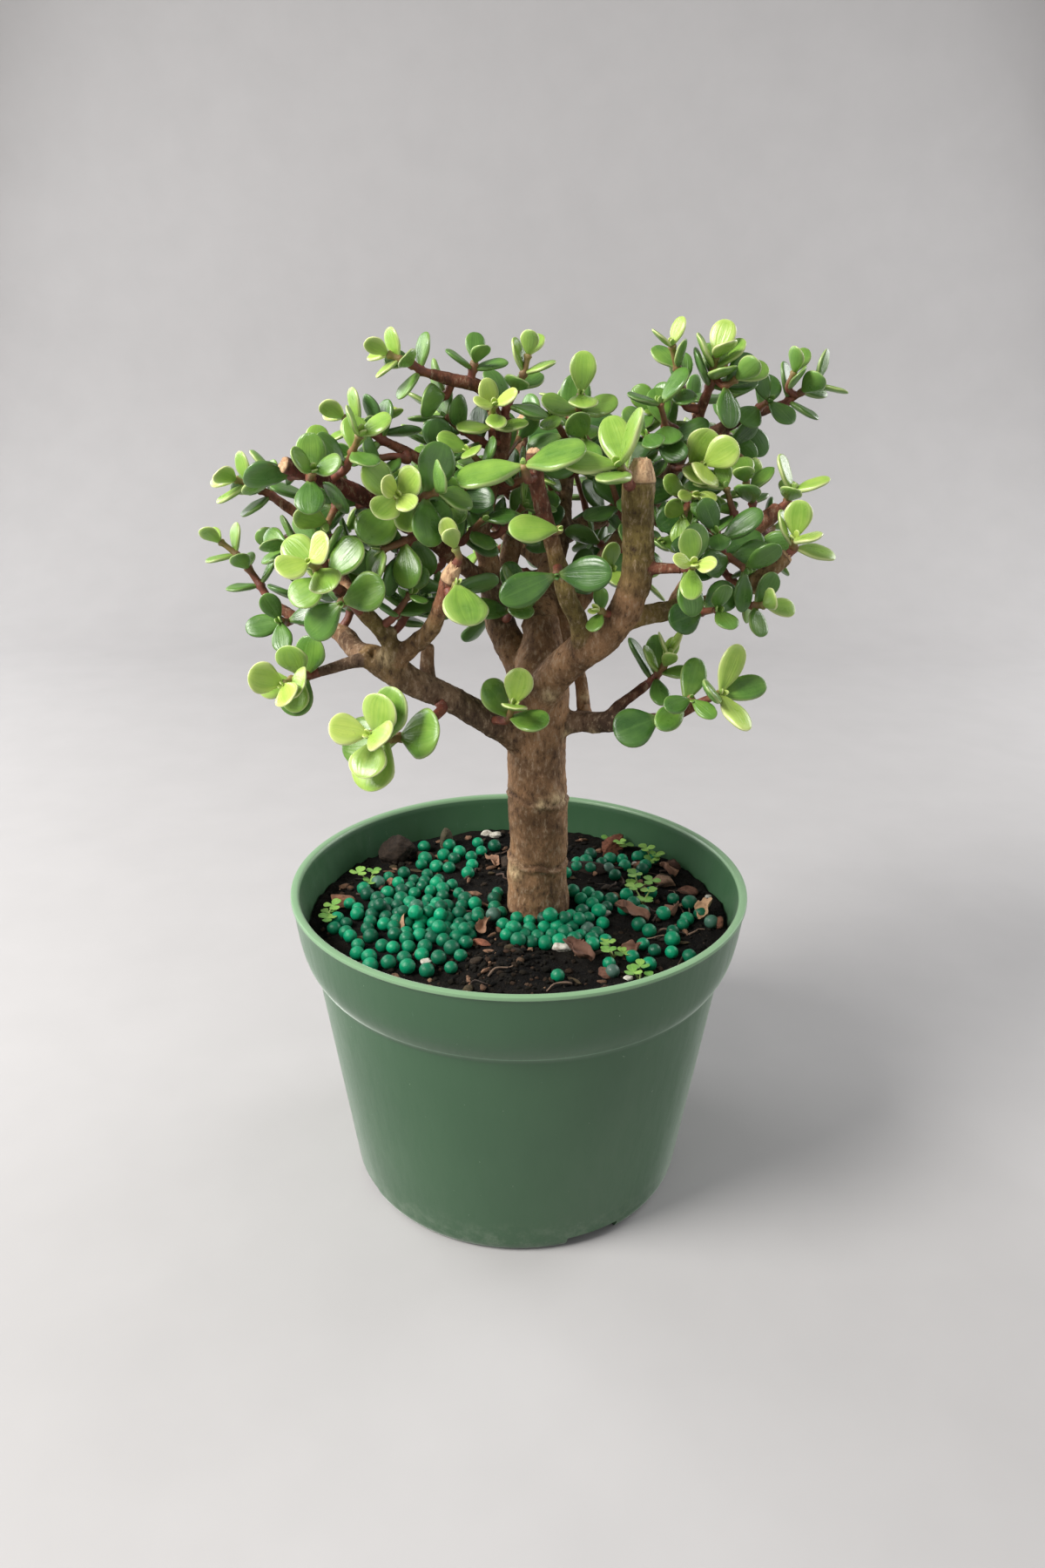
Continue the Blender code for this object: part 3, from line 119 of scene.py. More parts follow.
# The wood: for each limb the points that it runs through, as x, y, z and radius.
LIMBS = {
    "trunk": [(5.5, 2, 73.5, 8.8), (5.5, 2, 82, 8.8), (5, 2, 89.5, 8.4), (5.5, 2, 101, 8.1), (5, 2, 110, 8.4),
        (4.5, 2, 122, 7.9), (4.5, 2, 132, 8), (5, 3, 141.5, 8.2), (5.5, 4, 151, 6.8), (5.5, 5, 158, 5.2),
        (5.5, 6, 163, 4.2)],
    "left": [(2, 1, 130, 5.7), (-4, -3, 134, 3.9), (-12, -7, 140, 3.6), (-19, -11, 145.5, 3.4),
        (-26, -14, 149.5, 3.7), (-32.5, -16, 154, 3.9), (-36.5, -17, 157, 3.4)],
    "left_olive": [(-31, -17, 155, 2.4), (-32, -19, 161.5, 2.1), (-36, -21, 167.5, 2), (-40, -23, 172, 1.7),
        (-43, -25, 175.5, 1.5)],
    "left_callus": [(-32, -17, 155.5, 2.4), (-27, -19, 160, 2.3), (-21.5, -22, 165.5, 2.2),
        (-18.5, -25, 173, 1.9), (-16.5, -27, 179, 2.2), (-15, -28, 182, 2.3)],
    "left_prop": [(-23.5, -8, 146.5, 2), (-24, -8, 152.5, 1.9), (-23.5, -8, 158.5, 1.7)],
    "left_dark": [(-36, -16, 156.5, 2.8), (-41, -12, 157.5, 2.7), (-45, -8, 160.5, 2.5),
        (-50.5, -4, 162, 1.7), (-57, 0, 162.5, 1.5), (-63.5, 2, 165.5, 1.4)],
    "left_low": [(-37, -18, 157, 1.7), (-41, -19, 156.5, 1.6), (-46.5, -20, 155, 1.4), (-50, -21, 154, 1.3)],
    "left_high": [(-37.5, -21, 169, 1.5), (-44, -12, 176, 1.5), (-49, -4, 183, 1.5), (-55.5, 0, 188.5, 1.4),
        (-61.5, 2, 192.5, 1.3)],
    "cut_red": [(-10, 14, 170, 2.3), (-17.5, 4, 178, 2.2), (-27.5, -6, 188, 2.2), (-38, -14, 195.5, 2.2),
        (-46.5, -20, 200, 2.1), (-54, -25, 203.5, 1.9)],
    "back_left": [(3.5, 6, 140.5, 4.7), (0, 9, 149, 4.7), (-4.5, 12, 156.5, 4.3), (-7, 14, 163.5, 4),
        (-7.5, 15, 170.5, 3.5)],
    "stem_a": [(-7.5, 15, 168.5, 3.1), (-9, 14, 176.5, 2.9), (-11, 12, 183.5, 2.7), (-9, 10, 193, 2.6),
        (-6.5, 8, 201.5, 2.4), (-5, 7, 208, 2.2), (-4.5, 6, 212.5, 1.9)],
    "stem_b": [(-7, 16, 164.5, 3.1), (-4, 20, 173.5, 2.8), (-2, 24, 182, 2.7), (-0.5, 28, 193, 2.6),
        (-0.5, 31, 203, 2.4), (0, 33, 211.5, 2.1)],
    "top_left": [(-5.5, 7, 208, 1.8), (-7.5, 4, 214.5, 1.7), (-10.5, 2, 219.5, 1.7), (-17, 0, 221, 1.6),
        (-22.5, -2, 222.5, 1.3)],
    "arm_left": [(-8.5, 10, 190.5, 2), (-14.5, 6, 195.5, 1.8), (-20.5, 2, 199.5, 1.6), (-27, -3, 204, 1.4),
        (-32.5, -6, 207, 1.2)],
    "right": [(4.5, -1, 142.5, 5.1), (9.5, -5, 150.5, 4.7), (15, -8, 156.5, 4.6), (20, -10, 160.5, 4.5),
        (24.5, -12, 166.5, 3.9), (27, -13, 173, 3.8), (28, -14, 179.5, 3.6), (27.5, -15, 190, 3.4),
        (27, -16, 197, 3.4), (27.5, -16, 201, 3.1), (27.5, -16, 204.5, 2.5)],
    "olive_stub": [(15.5, -10, 158, 2.4), (14, -13, 166, 2.4), (11.5, -15, 171, 2.4), (9, -17, 179, 2.3),
        (7, -19, 186, 2), (4.5, -20, 194.5, 2), (3, -21, 201, 2), (2.5, -21, 207, 1.9)],
    "right_low": [(10, 2, 134.5, 3.3), (16.5, 0, 135.5, 2.8), (23.5, -3, 136.5, 2.8), (30, -6, 137.5, 2.3),
        (36, -8, 139, 1.6), (41, -10, 141.5, 1.6), (45.5, -13, 145, 1.4)],
    "right_low_fork": [(23.5, -3, 137.5, 1.8), (26.5, -2, 141, 1.5), (30, -1, 143.5, 1.4),
        (34, 0, 146.5, 1.3)],
    "right_prop": [(18, 1, 135, 2.2), (17, 4, 138.5, 1.8), (16.5, 7, 143.5, 1.8), (15, 10, 150, 1.8),
        (13.5, 13, 157, 2.2)],
    "right_olive": [(23.5, -11, 164.5, 2.6), (30, -10, 166.5, 2.6), (37.5, -8, 167.5, 2.5),
        (45.5, -6, 168.5, 2.4), (52.5, -4, 169.5, 2.4), (58, -3, 173, 2.3), (62.5, -2, 176.5, 2.2),
        (67, -1, 180.5, 2.2)],
    "right_twin": [(38, -7, 167, 2), (41.5, -2, 172, 2.2), (45.5, 2, 175.5, 2.2), (51.5, 5, 178.5, 2.4),
        (56.5, 7, 183, 2.4), (62, 9, 187, 2.3), (66.5, 10, 190.5, 2.2)],
    "right_fine": [(28, -14, 179, 1.5), (33, -17, 179.5, 1.4), (38, -20, 180, 1.2)],
    "back_right": [(5.5, 8, 146, 4.5), (11.5, 15, 159.5, 3.8), (17, 19, 167.5, 3.7), (23, 21, 174.5, 3.4),
        (29, 25, 182, 3.1), (35.5, 28, 190.5, 2.9), (40.5, 30, 198.5, 2.6), (44, 31, 204.5, 2.4)],
    "back_right_fork": [(43.5, 31, 203.5, 1.9), (49, 32, 206.5, 1.8), (55.5, 33, 209.5, 1.7),
        (62.5, 34, 212.5, 1.5), (68.5, 35, 214.5, 1.4)],
    "back_right_red": [(43.5, 31, 203.5, 1.7), (45.5, 27, 209, 1.6), (46.5, 23, 214, 1.5),
        (47.5, 20, 218.5, 1.3)],
    "back_mid": [(5, 6, 159.5, 4.2), (6, 14, 165, 3.8), (8, 26, 171, 3.6), (10, 34, 179.5, 3.7),
        (11, 40, 188.5, 3.2), (12.5, 44, 197.5, 2.7), (13.5, 47, 206, 2.4)],
    "back_far_left": [(8.5, 28, 172.5, 3.2), (0, 38, 176.5, 2.7), (-8.5, 46, 182, 2.5), (-16.5, 52, 189, 2.2),
        (-24, 57, 196, 1.9)],
    "back_far_right": [(10, 34, 179.5, 3), (19, 44, 181.5, 2.7), (29, 52, 185, 2.4), (38, 58, 190.5, 2.1),
        (44.5, 62, 195.5, 1.8)],
}

# The leafy stems: which limb or stem each springs from, the points it runs through, its radii, its pairs of
# leaves from a first share of its length, and their length, turn, opening, width, age and gaps.
SPRAYS = [Spray(*row) for row in (
    ("far_left", "left_dark", [(-67.5, 3, 170.5), (-71, 4, 175.5), (-74, 4, 179), (-77, 4, 181.5)],
     (1.2, 0.8), 4, 0.3, (9.5, 7), 0, (70, 45), 0.62, (0.25, 0.7)),
    ("left_tip", "left_high", [(-64, 1, 194), (-67, 0, 196), (-70.5, -1, 197.5)], (1.2, 0.8), 4, 0.1,
     (9.5, 8), 0, (70, 50), 0.68, (0.3, 0.75)),
    ("left_rosette", "left_olive", [(-44.5, -28, 178.5), (-46.5, -33, 182), (-47, -36, 183.5)], (1.3, 0.9), 3,
     0.35, (11, 9), 40, (80, 55), 0.8, (0.45, 0.9)),
    ("left_olive_pair", "left_olive", [(-40.5, -28, 173.5), (-41, -31, 173.5)], (1.3, 1), 1, 1, (12, 12), 35,
     (82, 82), 0.72, (0.3, 0.3)),
    ("left_low_twig", "left_dark", [(-60, -3, 162.5), (-60.5, -8, 164)], (1.1, 0.9), 2, 0.5, (11, 9), 20,
     (80, 60), 0.6, (0.15, 0.3)),
    ("lower_left", "left_low", [(-52, -24, 154.5), (-54, -28, 154.5), (-55.5, -32, 154.5)], (1.2, 0.8), 4,
     0.25, (10, 8.5), 60, (78, 50), 0.85, (0.35, 0.9)),
    ("front_left", "left", [(-20, -17, 143), (-24, -27, 142.5), (-29, -36, 142.5), (-32.5, -40.5, 144),
     (-34, -45, 146.5)], (1.4, 0.9), 4, 0.64, (15, 9), 75, (82, 55), 0.86, (0.35, 0.95)),
    ("on_trunk", "left", [(-3.5, -12, 139.5), (-2, -16, 144.5)], (1.2, 0.9), 2, 0.55, (12, 9.5), 0, (58, 40),
     0.74, (0.35, 0.7)),
    ("callus_tip", "left_callus", [(-15, -28, 183.5), (-15, -29, 185.5)], (1.2, 0.8), 2, 0.4, (7, 7), 0,
     (38, 26), 0.6, (0.8, 0.95)),
    ("callus_front", "left_callus", [(-14.8, -31.5, 178)], (1.2, 1), 1, 1, (12, 12), -46, (84, 84), 0.9,
     (0.6, 0.6), (1,)),
    ("callus_back", "left_callus", [(-18, -19, 173), (-18, -13, 173.5)], (1.2, 1), 1, 1, (12.5, 12.5), 10,
     (75, 75), 0.68, (0.1, 0.1)),
    ("centre_rosette", "cut_red", [(-29.5, -15, 193), (-28.5, -21, 195.5), (-28, -27, 197)], (1.3, 0.9), 4,
     0.35, (12.5, 7), 50, (82, 40), 0.78, (0.4, 0.95)),
    ("below_rosette", "cut_red", [(-26, -13, 186), (-28, -19, 185.5), (-32.5, -21, 184)], (1.3, 0.9), 3, 0.3,
     (12.5, 9.5), 80, (75, 60), 0.72, (0.2, 0.4)),
    ("big_horizontal", "olive_stub", [(1, -24.5, 201.5), (0.3, -26, 203.5)], (1.3, 1.1), 1, 1, (14.5, 14.5),
     -15, (86, 86), 0.76, (0.4, 0.4)),
    ("bright_long", "right", [(24, -21, 201), (22, -23, 203.5)], (1.3, 1), 2, 0.6, (15, 15), 60, (60, 45),
     0.55, (0.55, 0.6)),
    ("olive_left", "olive_stub", [(8.5, -25, 189.5)], (1.2, 1), 1, 1, (11.5, 11.5), 5, (86, 86), 0.6,
     (0.5, 0.5), (0,)),
    ("olive_dark", "olive_stub", [(8.5, -21.5, 178.5), (8, -22.5, 181)], (1.2, 1), 1, 1, (14.5, 14.5), 28,
     (68, 68), 0.6, (0.1, 0.1)),
    ("crotch", "right", [(20, -15, 168), (19, -16, 169)], (1, 0.8), 2, 0.6, (6.5, 3.5), 0, (70, 40), 0.7,
     (0.3, 0.9)),
    ("top_left_tip", "top_left", [(-25.5, -3, 224), (-29, -4, 225.5), (-31.5, -4, 226.5)], (1.1, 0.8), 4,
     0.12, (8.5, 7), 0, (68, 42), 0.66, (0.3, 0.85)),
    ("top_left_knob", "top_left", [(-12, 1, 222), (-14, 1, 224.5)], (1.1, 0.8), 2, 0.5, (8.5, 7.5), 30,
     (70, 45), 0.66, (0.2, 0.35)),
    ("arm_left_tip", "arm_left", [(-35.5, -7, 209), (-39, -8, 211), (-42, -8, 212.5)], (1.1, 0.8), 4, 0.1,
     (9.5, 7.5), 0, (70, 42), 0.66, (0.2, 0.8)),
    ("arm_left_under", "arm_left", [(-30.5, -9, 204), (-35, -11, 203.5), (-38.5, -12, 203.5)], (1.1, 0.8), 3,
     0.3, (10.5, 7), 20, (75, 45), 0.68, (0.2, 0.35)),
    ("top_centre", "stem_a", [(-2.5, 5, 218), (0, 4, 222.5), (1, 4, 226.5)], (1.2, 0.8), 4, 0.2, (10.5, 7), 0,
     (70, 35), 0.68, (0.25, 0.7)),
    ("top_centre_lime", "stem_a", [(-7.5, 1, 212.5), (-7, -3, 215.5)], (1.1, 0.8), 3, 0.4, (9.5, 7), 20,
     (75, 45), 0.66, (0.6, 0.95)),
    ("upper_left_dark", "stem_a", [(-11, 7, 206.5), (-15.5, 7, 209.5), (-19, 7, 212)], (1.2, 0.9), 3, 0.25,
     (11.5, 9.5), 20, (72, 50), 0.66, (0.1, 0.3)),
    ("centre_high", "back_mid", [(13, 33, 205.5), (14, 20, 212), (14.5, 12, 217.5)], (1.3, 0.9), 4, 0.35,
     (13, 10), 10, (72, 55), 0.72, (0.15, 0.6)),
    ("mid_right_top", "back_right", [(37.5, 20, 205.5), (36, 14, 211.5), (34.5, 12, 215.5)], (1.2, 0.8), 3,
     0.4, (11.5, 10), 15, (75, 55), 0.66, (0.15, 0.3)),
    ("top_right_tip", "back_right_red", [(48, 17, 222.5), (48, 15, 226.5)], (1.2, 0.9), 4, 0.1, (11.5, 9), 10,
     (72, 45), 0.7, (0.2, 0.8)),
    ("top_right_left", "back_right_red", [(42, 22, 215.5), (39.5, 17, 222), (37, 14, 229)], (1.2, 0.9), 3,
     0.45, (10, 7), 20, (68, 40), 0.66, (0.25, 0.7)),
    ("right_top_end", "back_right_fork", [(72, 35, 216), (75.5, 34, 218.5), (78.5, 34, 220)], (1.1, 0.8), 3,
     0.35, (10, 9), 0, (65, 45), 0.64, (0.25, 0.45)),
    ("right_top_mid", "back_right_fork", [(63.5, 30, 214.5), (64.5, 26, 216)], (1.1, 0.9), 2, 0.5, (9.5, 9),
     45, (80, 65), 0.74, (0.1, 0.15)),
    ("folded", "back_right", [(41.5, 23, 199), (44, 15, 200.5), (46, 11, 201)], (1.1, 0.8), 2, 0.7, (11, 11),
     70, (60, 40), 0.8, (0.75, 0.85)),
    ("right_mid_dark", "back_right", [(41, 21, 194.5), (42.5, 12, 193.5), (43.5, 7, 194)], (1.2, 0.8), 3,
     0.45, (12.5, 6), 0, (80, 55), 0.62, (0.1, 0.9)),
    ("right_twin_tip", "right_twin", [(68, 10, 193), (69, 10, 194.5)], (1.2, 0.9), 3, 0.1, (9.5, 9.5), 0,
     (75, 45), 0.66, (0.35, 0.65)),
    ("right_olive_tip", "right_olive", [(67.5, -2, 182.5), (68, -3, 184.5)], (1.2, 0.9), 2, 0.35, (10.5, 10),
     20, (70, 50), 0.72, (0.6, 0.75)),
    ("right_olive_low", "right_olive", [(58.5, -6, 168.5), (60.5, -8, 169)], (1.1, 0.9), 2, 0.5, (9, 8.5), 0,
     (70, 50), 0.7, (0.35, 0.7)),
    ("right_twin_mid", "right_twin", [(49.5, -2, 180.5), (52, -7, 180), (54.5, -10, 178.5)], (1.2, 0.9), 3,
     0.2, (13, 10), 40, (78, 60), 0.62, (0.05, 0.15)),
    ("right_fine_tip", "right_fine", [(39, -22, 180.5), (39.5, -26, 182)], (1, 0.8), 3, 0.05, (11, 6.5), 0,
     (85, 50), 0.66, (0.2, 0.98)),
    ("fork_tip", "right_low_fork", [(35.5, -2, 149), (37, -4, 152), (38, -4, 154.5)], (1.1, 0.8), 5, 0.05,
     (12.5, 7), 10, (78, 30), 0.5, (0.1, 0.8)),
    ("right_round", "right_low", [(35, -13.5, 141), (35, -16.5, 142)], (1.1, 0.9), 1, 1, (11.5, 11.5), 10,
     (84, 84), 0.95, (0.15, 0.15), (0,)),
    ("right_end", "right_low", [(47.5, -15, 146.5), (49.5, -17, 148.5)], (1.2, 0.9), 2, 0.8, (14, 14), 70,
     (60, 55), 0.5, (0.4, 0.8)),
    ("right_hang", "right_low", [(41.5, -15, 145.5), (42, -20, 148)], (1.1, 0.9), 2, 0.5, (12.5, 9.5), -70,
     (84, 70), 0.55, (0.35, 0.3)),
    ("back_top", "back_mid", [(13.5, 51, 210.5), (12, 53, 214.5)], (1.2, 0.8), 3, 0.1, (11, 8), 0, (72, 45),
     0.68, (0.2, 0.6)),
    ("back_left_tip", "back_far_left", [(-27, 59, 201), (-28.5, 59, 205)], (1.2, 0.8), 3, 0.1, (10.5, 8), 0,
     (72, 45), 0.68, (0.2, 0.6)),
    ("back_left_mid", "back_far_left", [(-13.5, 57, 190), (-16.5, 65, 193)], (1.2, 0.8), 2, 0.4, (11, 8), 0,
     (72, 45), 0.68, (0.15, 0.5)),
    ("back_right_tip", "back_far_right", [(48, 63, 199.5), (50.5, 64, 203)], (1.2, 0.8), 3, 0.1, (10.5, 8), 0,
     (72, 45), 0.68, (0.2, 0.6)),
    ("back_right_mid", "back_far_right", [(30.5, 61, 190), (30.5, 68, 193)], (1.2, 0.8), 2, 0.4, (11, 8), 0,
     (72, 45), 0.68, (0.15, 0.5)),
    ("back_low_right", "back_right", [(29, 38, 173), (35, 47, 174.5), (38.5, 52, 176.5)], (1.2, 0.8), 3, 0.35,
     (11, 8), 0, (72, 45), 0.68, (0.15, 0.5)),
    ("back_low_left", "back_left", [(-9.5, 28, 157.5), (-16, 38, 160), (-21.5, 44, 162)], (1.2, 0.8), 3, 0.35,
     (11, 8), 0, (72, 45), 0.68, (0.15, 0.5)),
    ("arm_left_up", "arm_left_tip", [(-33.5, -4, 210), (-32.5, -3, 212)], (1, 0.8), 2, 0.3, (9.5, 5), 0,
     (72, 35), 0.6, (0.15, 0.9)),
    ("left_rosette_b", "left_rosette", [(-45.5, -26, 181), (-47.5, -22, 184)], (1, 0.8), 2, 0.5, (10.5, 9.5),
     0, (75, 50), 0.72, (0.3, 0.5)),
    ("below_b", "below_rosette", [(-28.5, -15, 182.5), (-32, -12, 178.5), (-35.5, -10, 177)], (1.1, 0.8), 2,
     0.3, (11.5, 9), 40, (75, 50), 0.7, (0.1, 0.3)),
    ("centre_b", "centre_rosette", [(-26, -20, 195), (-22, -23, 196.5), (-19.5, -24, 197.5)], (1.1, 0.8), 2,
     0.7, (12, 10), -20, (70, 55), 0.74, (0.25, 0.4)),
    ("high_b", "centre_high", [(11.5, 24, 207), (9, 18, 210), (7, 14, 212.5)], (1.1, 0.8), 2, 0.3, (11, 9),
     30, (75, 50), 0.66, (0.1, 0.35)),
    ("high_c", "centre_high", [(15.5, 22, 203), (17, 12, 206), (15.5, 6, 207.5)], (1.1, 0.8), 2, 0.4,
     (13.5, 10), 20, (75, 50), 0.68, (0.15, 0.35)),
    ("mid_b", "mid_right_top", [(35, 14, 206), (32, 8, 207), (30.5, 5, 208.5)], (1.1, 0.8), 2, 0.4, (11, 9),
     30, (75, 50), 0.66, (0.1, 0.3)),
    ("tip_b", "top_right_tip", [(50.5, 14, 220), (53, 12, 221.5)], (1, 0.8), 2, 0.6, (11, 9), 0, (70, 45),
     0.66, (0.25, 0.5)),
    ("end_b", "right_top_end", [(71, 33, 219.5), (72, 32, 223)], (1, 0.8), 2, 0.4, (9.5, 8), 0, (60, 35),
     0.62, (0.3, 0.55)),
    ("dark_b", "right_mid_dark", [(43, 12, 191), (41.5, 8, 189)], (1, 0.8), 2, 0.5, (10, 8), 40, (75, 50),
     0.7, (0.15, 0.5)),
    ("twin_b", "right_twin_mid", [(49.5, -4, 183.5), (47.5, -8, 186.5)], (1.1, 0.8), 2, 0.5, (12, 10), 20,
     (75, 50), 0.6, (0.05, 0.2)),
)]


def unit(vector):
    return vector / math.sqrt(float((vector * vector).sum()))


def smooth_line(rows, step):
    """A smooth curve through the rows, with a point about every step. Further columns follow."""
    rows = np.asarray(rows, float)
    ends = np.vstack([2 * rows[0] - rows[1], rows, 2 * rows[-1] - rows[-2]])
    found = []
    for i in range(1, len(ends) - 2):
        before, start, stop, after = ends[i - 1 : i + 3]
        count = max(1, int(round(math.dist(start[:3], stop[:3]) / step)))
        for t in (k / count for k in range(count)):
            bend = 2 * before - 5 * start + 4 * stop - after
            twist = 3 * start - before - 3 * stop + after
            found.append(start + 0.5 * ((stop - before) * t + bend * t**2 + twist * t**3))
    found.append(rows[-1])
    return np.array(found)


def point_on(line, t):
    """The point and the direction at a share t of the line's length."""
    last = len(line) - 1
    place = min(max(t, 0), 1) * last
    i = min(int(place), last - 1)
    point = line[i] + (line[i + 1] - line[i]) * (place - i)
    return point[:3], unit((line[min(last, i + 2)] - line[max(0, i - 1)])[:3])


def across(direction):
    """Two directions square to this one. The first lies across the view from the front."""
    side = np.cross(FRONT, direction)
    if math.sqrt(float((side * side).sum())) < 0.5:
        side = np.array([1.0, 0, 0]) - direction * direction[0]
    side = unit(side)
    if side[0] < 0:
        side = -side
    return side, np.cross(direction, side)


def nearest(line, point):
    return int(((line[:, :3] - point) ** 2).sum(axis=1).argmin())


def stem_rows(spray, limb_lines, stem_lines, ends_taken):
    """The points that a stem runs through, from the surface of the wood or from its parent stem."""
    path = [np.array(point, float) for point in spray.path]
    if spray.limb in stem_lines:
        parent = stem_lines[spray.limb]
        return [parent[nearest(parent, path[0])]] + path
    line = limb_lines[spray.limb]
    i = nearest(line, path[0])
    if i >= len(line) - 2 and spray.limb not in ends_taken:
        ends_taken.add(spray.limb)
        tip, before = np.array(LIMBS[spray.limb][-1][:3]), np.array(LIMBS[spray.limb][-2][:3])
        out = unit(tip - before)
        start = tip + out * GAP
    else:
        i = min(i, len(line) - 1 - END_STEPS)
        along = unit((line[i + 1] - line[i - 1])[:3])
        out = path[0] - line[i, :3]
        out = unit(out - along * float((along * out).sum()))
        start = line[i, :3] + out * (line[i, 3] + GAP)
    collar = start + out * COLLAR
    clear = [point for point in path if math.dist(point, start) > 2 * COLLAR]
    return [start, collar] + (clear or [collar + out * 1.2])


def leaf_pairs(spray, line, draw):
    """Opposite leaves, each pair turned a quarter from the last, smaller towards the tip."""
    for pair in range(spray.pairs):
        share = pair / (spray.pairs - 1) if spray.pairs > 1 else 1
        point, direction = point_on(line, spray.first + (1 - spray.first) * share)
        side, front = across(direction)
        length = spray.length[0] + (spray.length[1] - spray.length[0]) * share
        opening = spray.opening[0] + (spray.opening[1] - spray.opening[0]) * share
        age = spray.age[0] + (spray.age[1] - spray.age[0]) * share
        for half in (0, 1):
            turn, open_more, longer, wider = [draw.uniform(-1, 1) for _ in range(4)]
            if 2 * pair + half in spray.without:
                continue
            around = spray.phase + 90 * pair + 180 * half + 12 * turn
            size = length * (1 + 0.08 * longer)
            width = length * spray.width * (1 + 0.07 * wider)
            yield Bud(point, direction, side, front, around, opening + 7 * open_more, size, width, age)


def lay_leaf(bud, turn, lift, scale):
    """The leaf that grows from a bud, its upper face towards the tip of the stem and the light."""
    around = math.radians(bud.around + turn)
    opening = math.radians(min(100, bud.opening + lift))
    out = bud.side * math.cos(around) + bud.front * math.sin(around)
    along = bud.direction * math.cos(opening) + out * math.sin(opening)
    upper = bud.direction * math.sin(opening) - out * math.cos(opening)
    upper = upper + UP * 0.55 + FRONT * 0.4
    upper = unit(upper - along * float((upper * along).sum()))
    return Leaf(bud.base, along, upper, bud.length * scale, bud.width * scale, bud.age)


def half_width(share):
    """How wide a leaf is at a share of its length, from 0 to 1: narrow at the base, round at the tip."""
    if share < WIDEST:
        return 0.10 + 0.90 * math.sin(math.pi / 2 * share / WIDEST) ** 1.3
    return math.sqrt(max(0, 1 - ((share - WIDEST) / (1 - WIDEST)) ** 2))


def leaf_point(leaf, share, across_share):
    """A point of the blade's middle surface, which is a shallow spoon."""
    half = leaf.width / 2 * half_width(share)
    sideways = np.cross(leaf.upper, leaf.along) * (half * across_share)
    rise = SPOON * half * across_share**2
    return leaf.base + leaf.along * (leaf.length * share) + sideways + leaf.upper * rise


def feelers(leaf):
    return np.array([leaf_point(leaf, share, x) for share in FEEL_ALONG for x in FEEL_ACROSS])


def is_clear(points, others, clearance):
    """Whether the points keep this far from the others, whose fourth column is a radius."""
    if not len(others):
        return True
    apart = points[:, None, :] - others[None, :, :3]
    distance = np.sqrt(apart[..., 0] ** 2 + apart[..., 1] ** 2 + apart[..., 2] ** 2)
    return bool((distance - others[None, :, 3]).min() >= clearance)


def grow_twigs(limb_lines, wood, stem_points, leaf_points):
    """More short leafy stems on the limbs behind and at the sides, where there is room for them."""
    draw = random.Random(SEED + 5)
    for k in range(TWIG_TRIES):
        limb = draw.choice(TWIG_LIMBS)
        line = limb_lines[limb]
        i = draw.randrange(len(line) // 4, max(len(line) // 4 + 1, len(line) - END_STEPS))
        side, front = across(unit((line[i + 1] - line[i - 1])[:3]))
        turn = draw.uniform(0, 2 * math.pi)
        out = unit(side * math.cos(turn) + front * math.sin(turn) + UP * 0.45)
        reach, rise = draw.uniform(4, 9), draw.uniform(0.5, 3)
        bend = line[i, :3] + out * (line[i, 3] + 3.5)
        tip = bend + out * reach + UP * rise
        ages = (draw.uniform(0.05, 0.35), draw.uniform(0.15, 0.65))
        pairs, lengths = draw.choice((2, 2, 3)), (draw.uniform(9.5, 12.5), 8.5)
        phase, width = draw.uniform(0, 90), draw.uniform(0.62, 0.76)
        path = [tuple(bend), tuple(tip)]
        spray = Spray(f"twig_{k}", limb, path, (1.1, 0.8), pairs, 0.35, lengths, phase, (74, 45), width, ages)
        in_front = TWIG_CLEAR_LEFT < tip[0] < TWIG_CLEAR_RIGHT and tip[1] < TWIG_CLEAR_FRONT
        if in_front or tip[2] < TWIG_LOW:
            continue
        stem = smooth_line(np.array(stem_rows(spray, limb_lines, {}, set(LIMBS))), 1.0)
        free = is_clear(stem[3:], wood, 2.2) and is_clear(stem, stem_points, 2.6)
        if free and is_clear(stem, leaf_points, 2.0):
            stem_points = np.vstack([stem_points, np.column_stack([stem, np.full(len(stem), 1.0)])])
            yield spray, stem


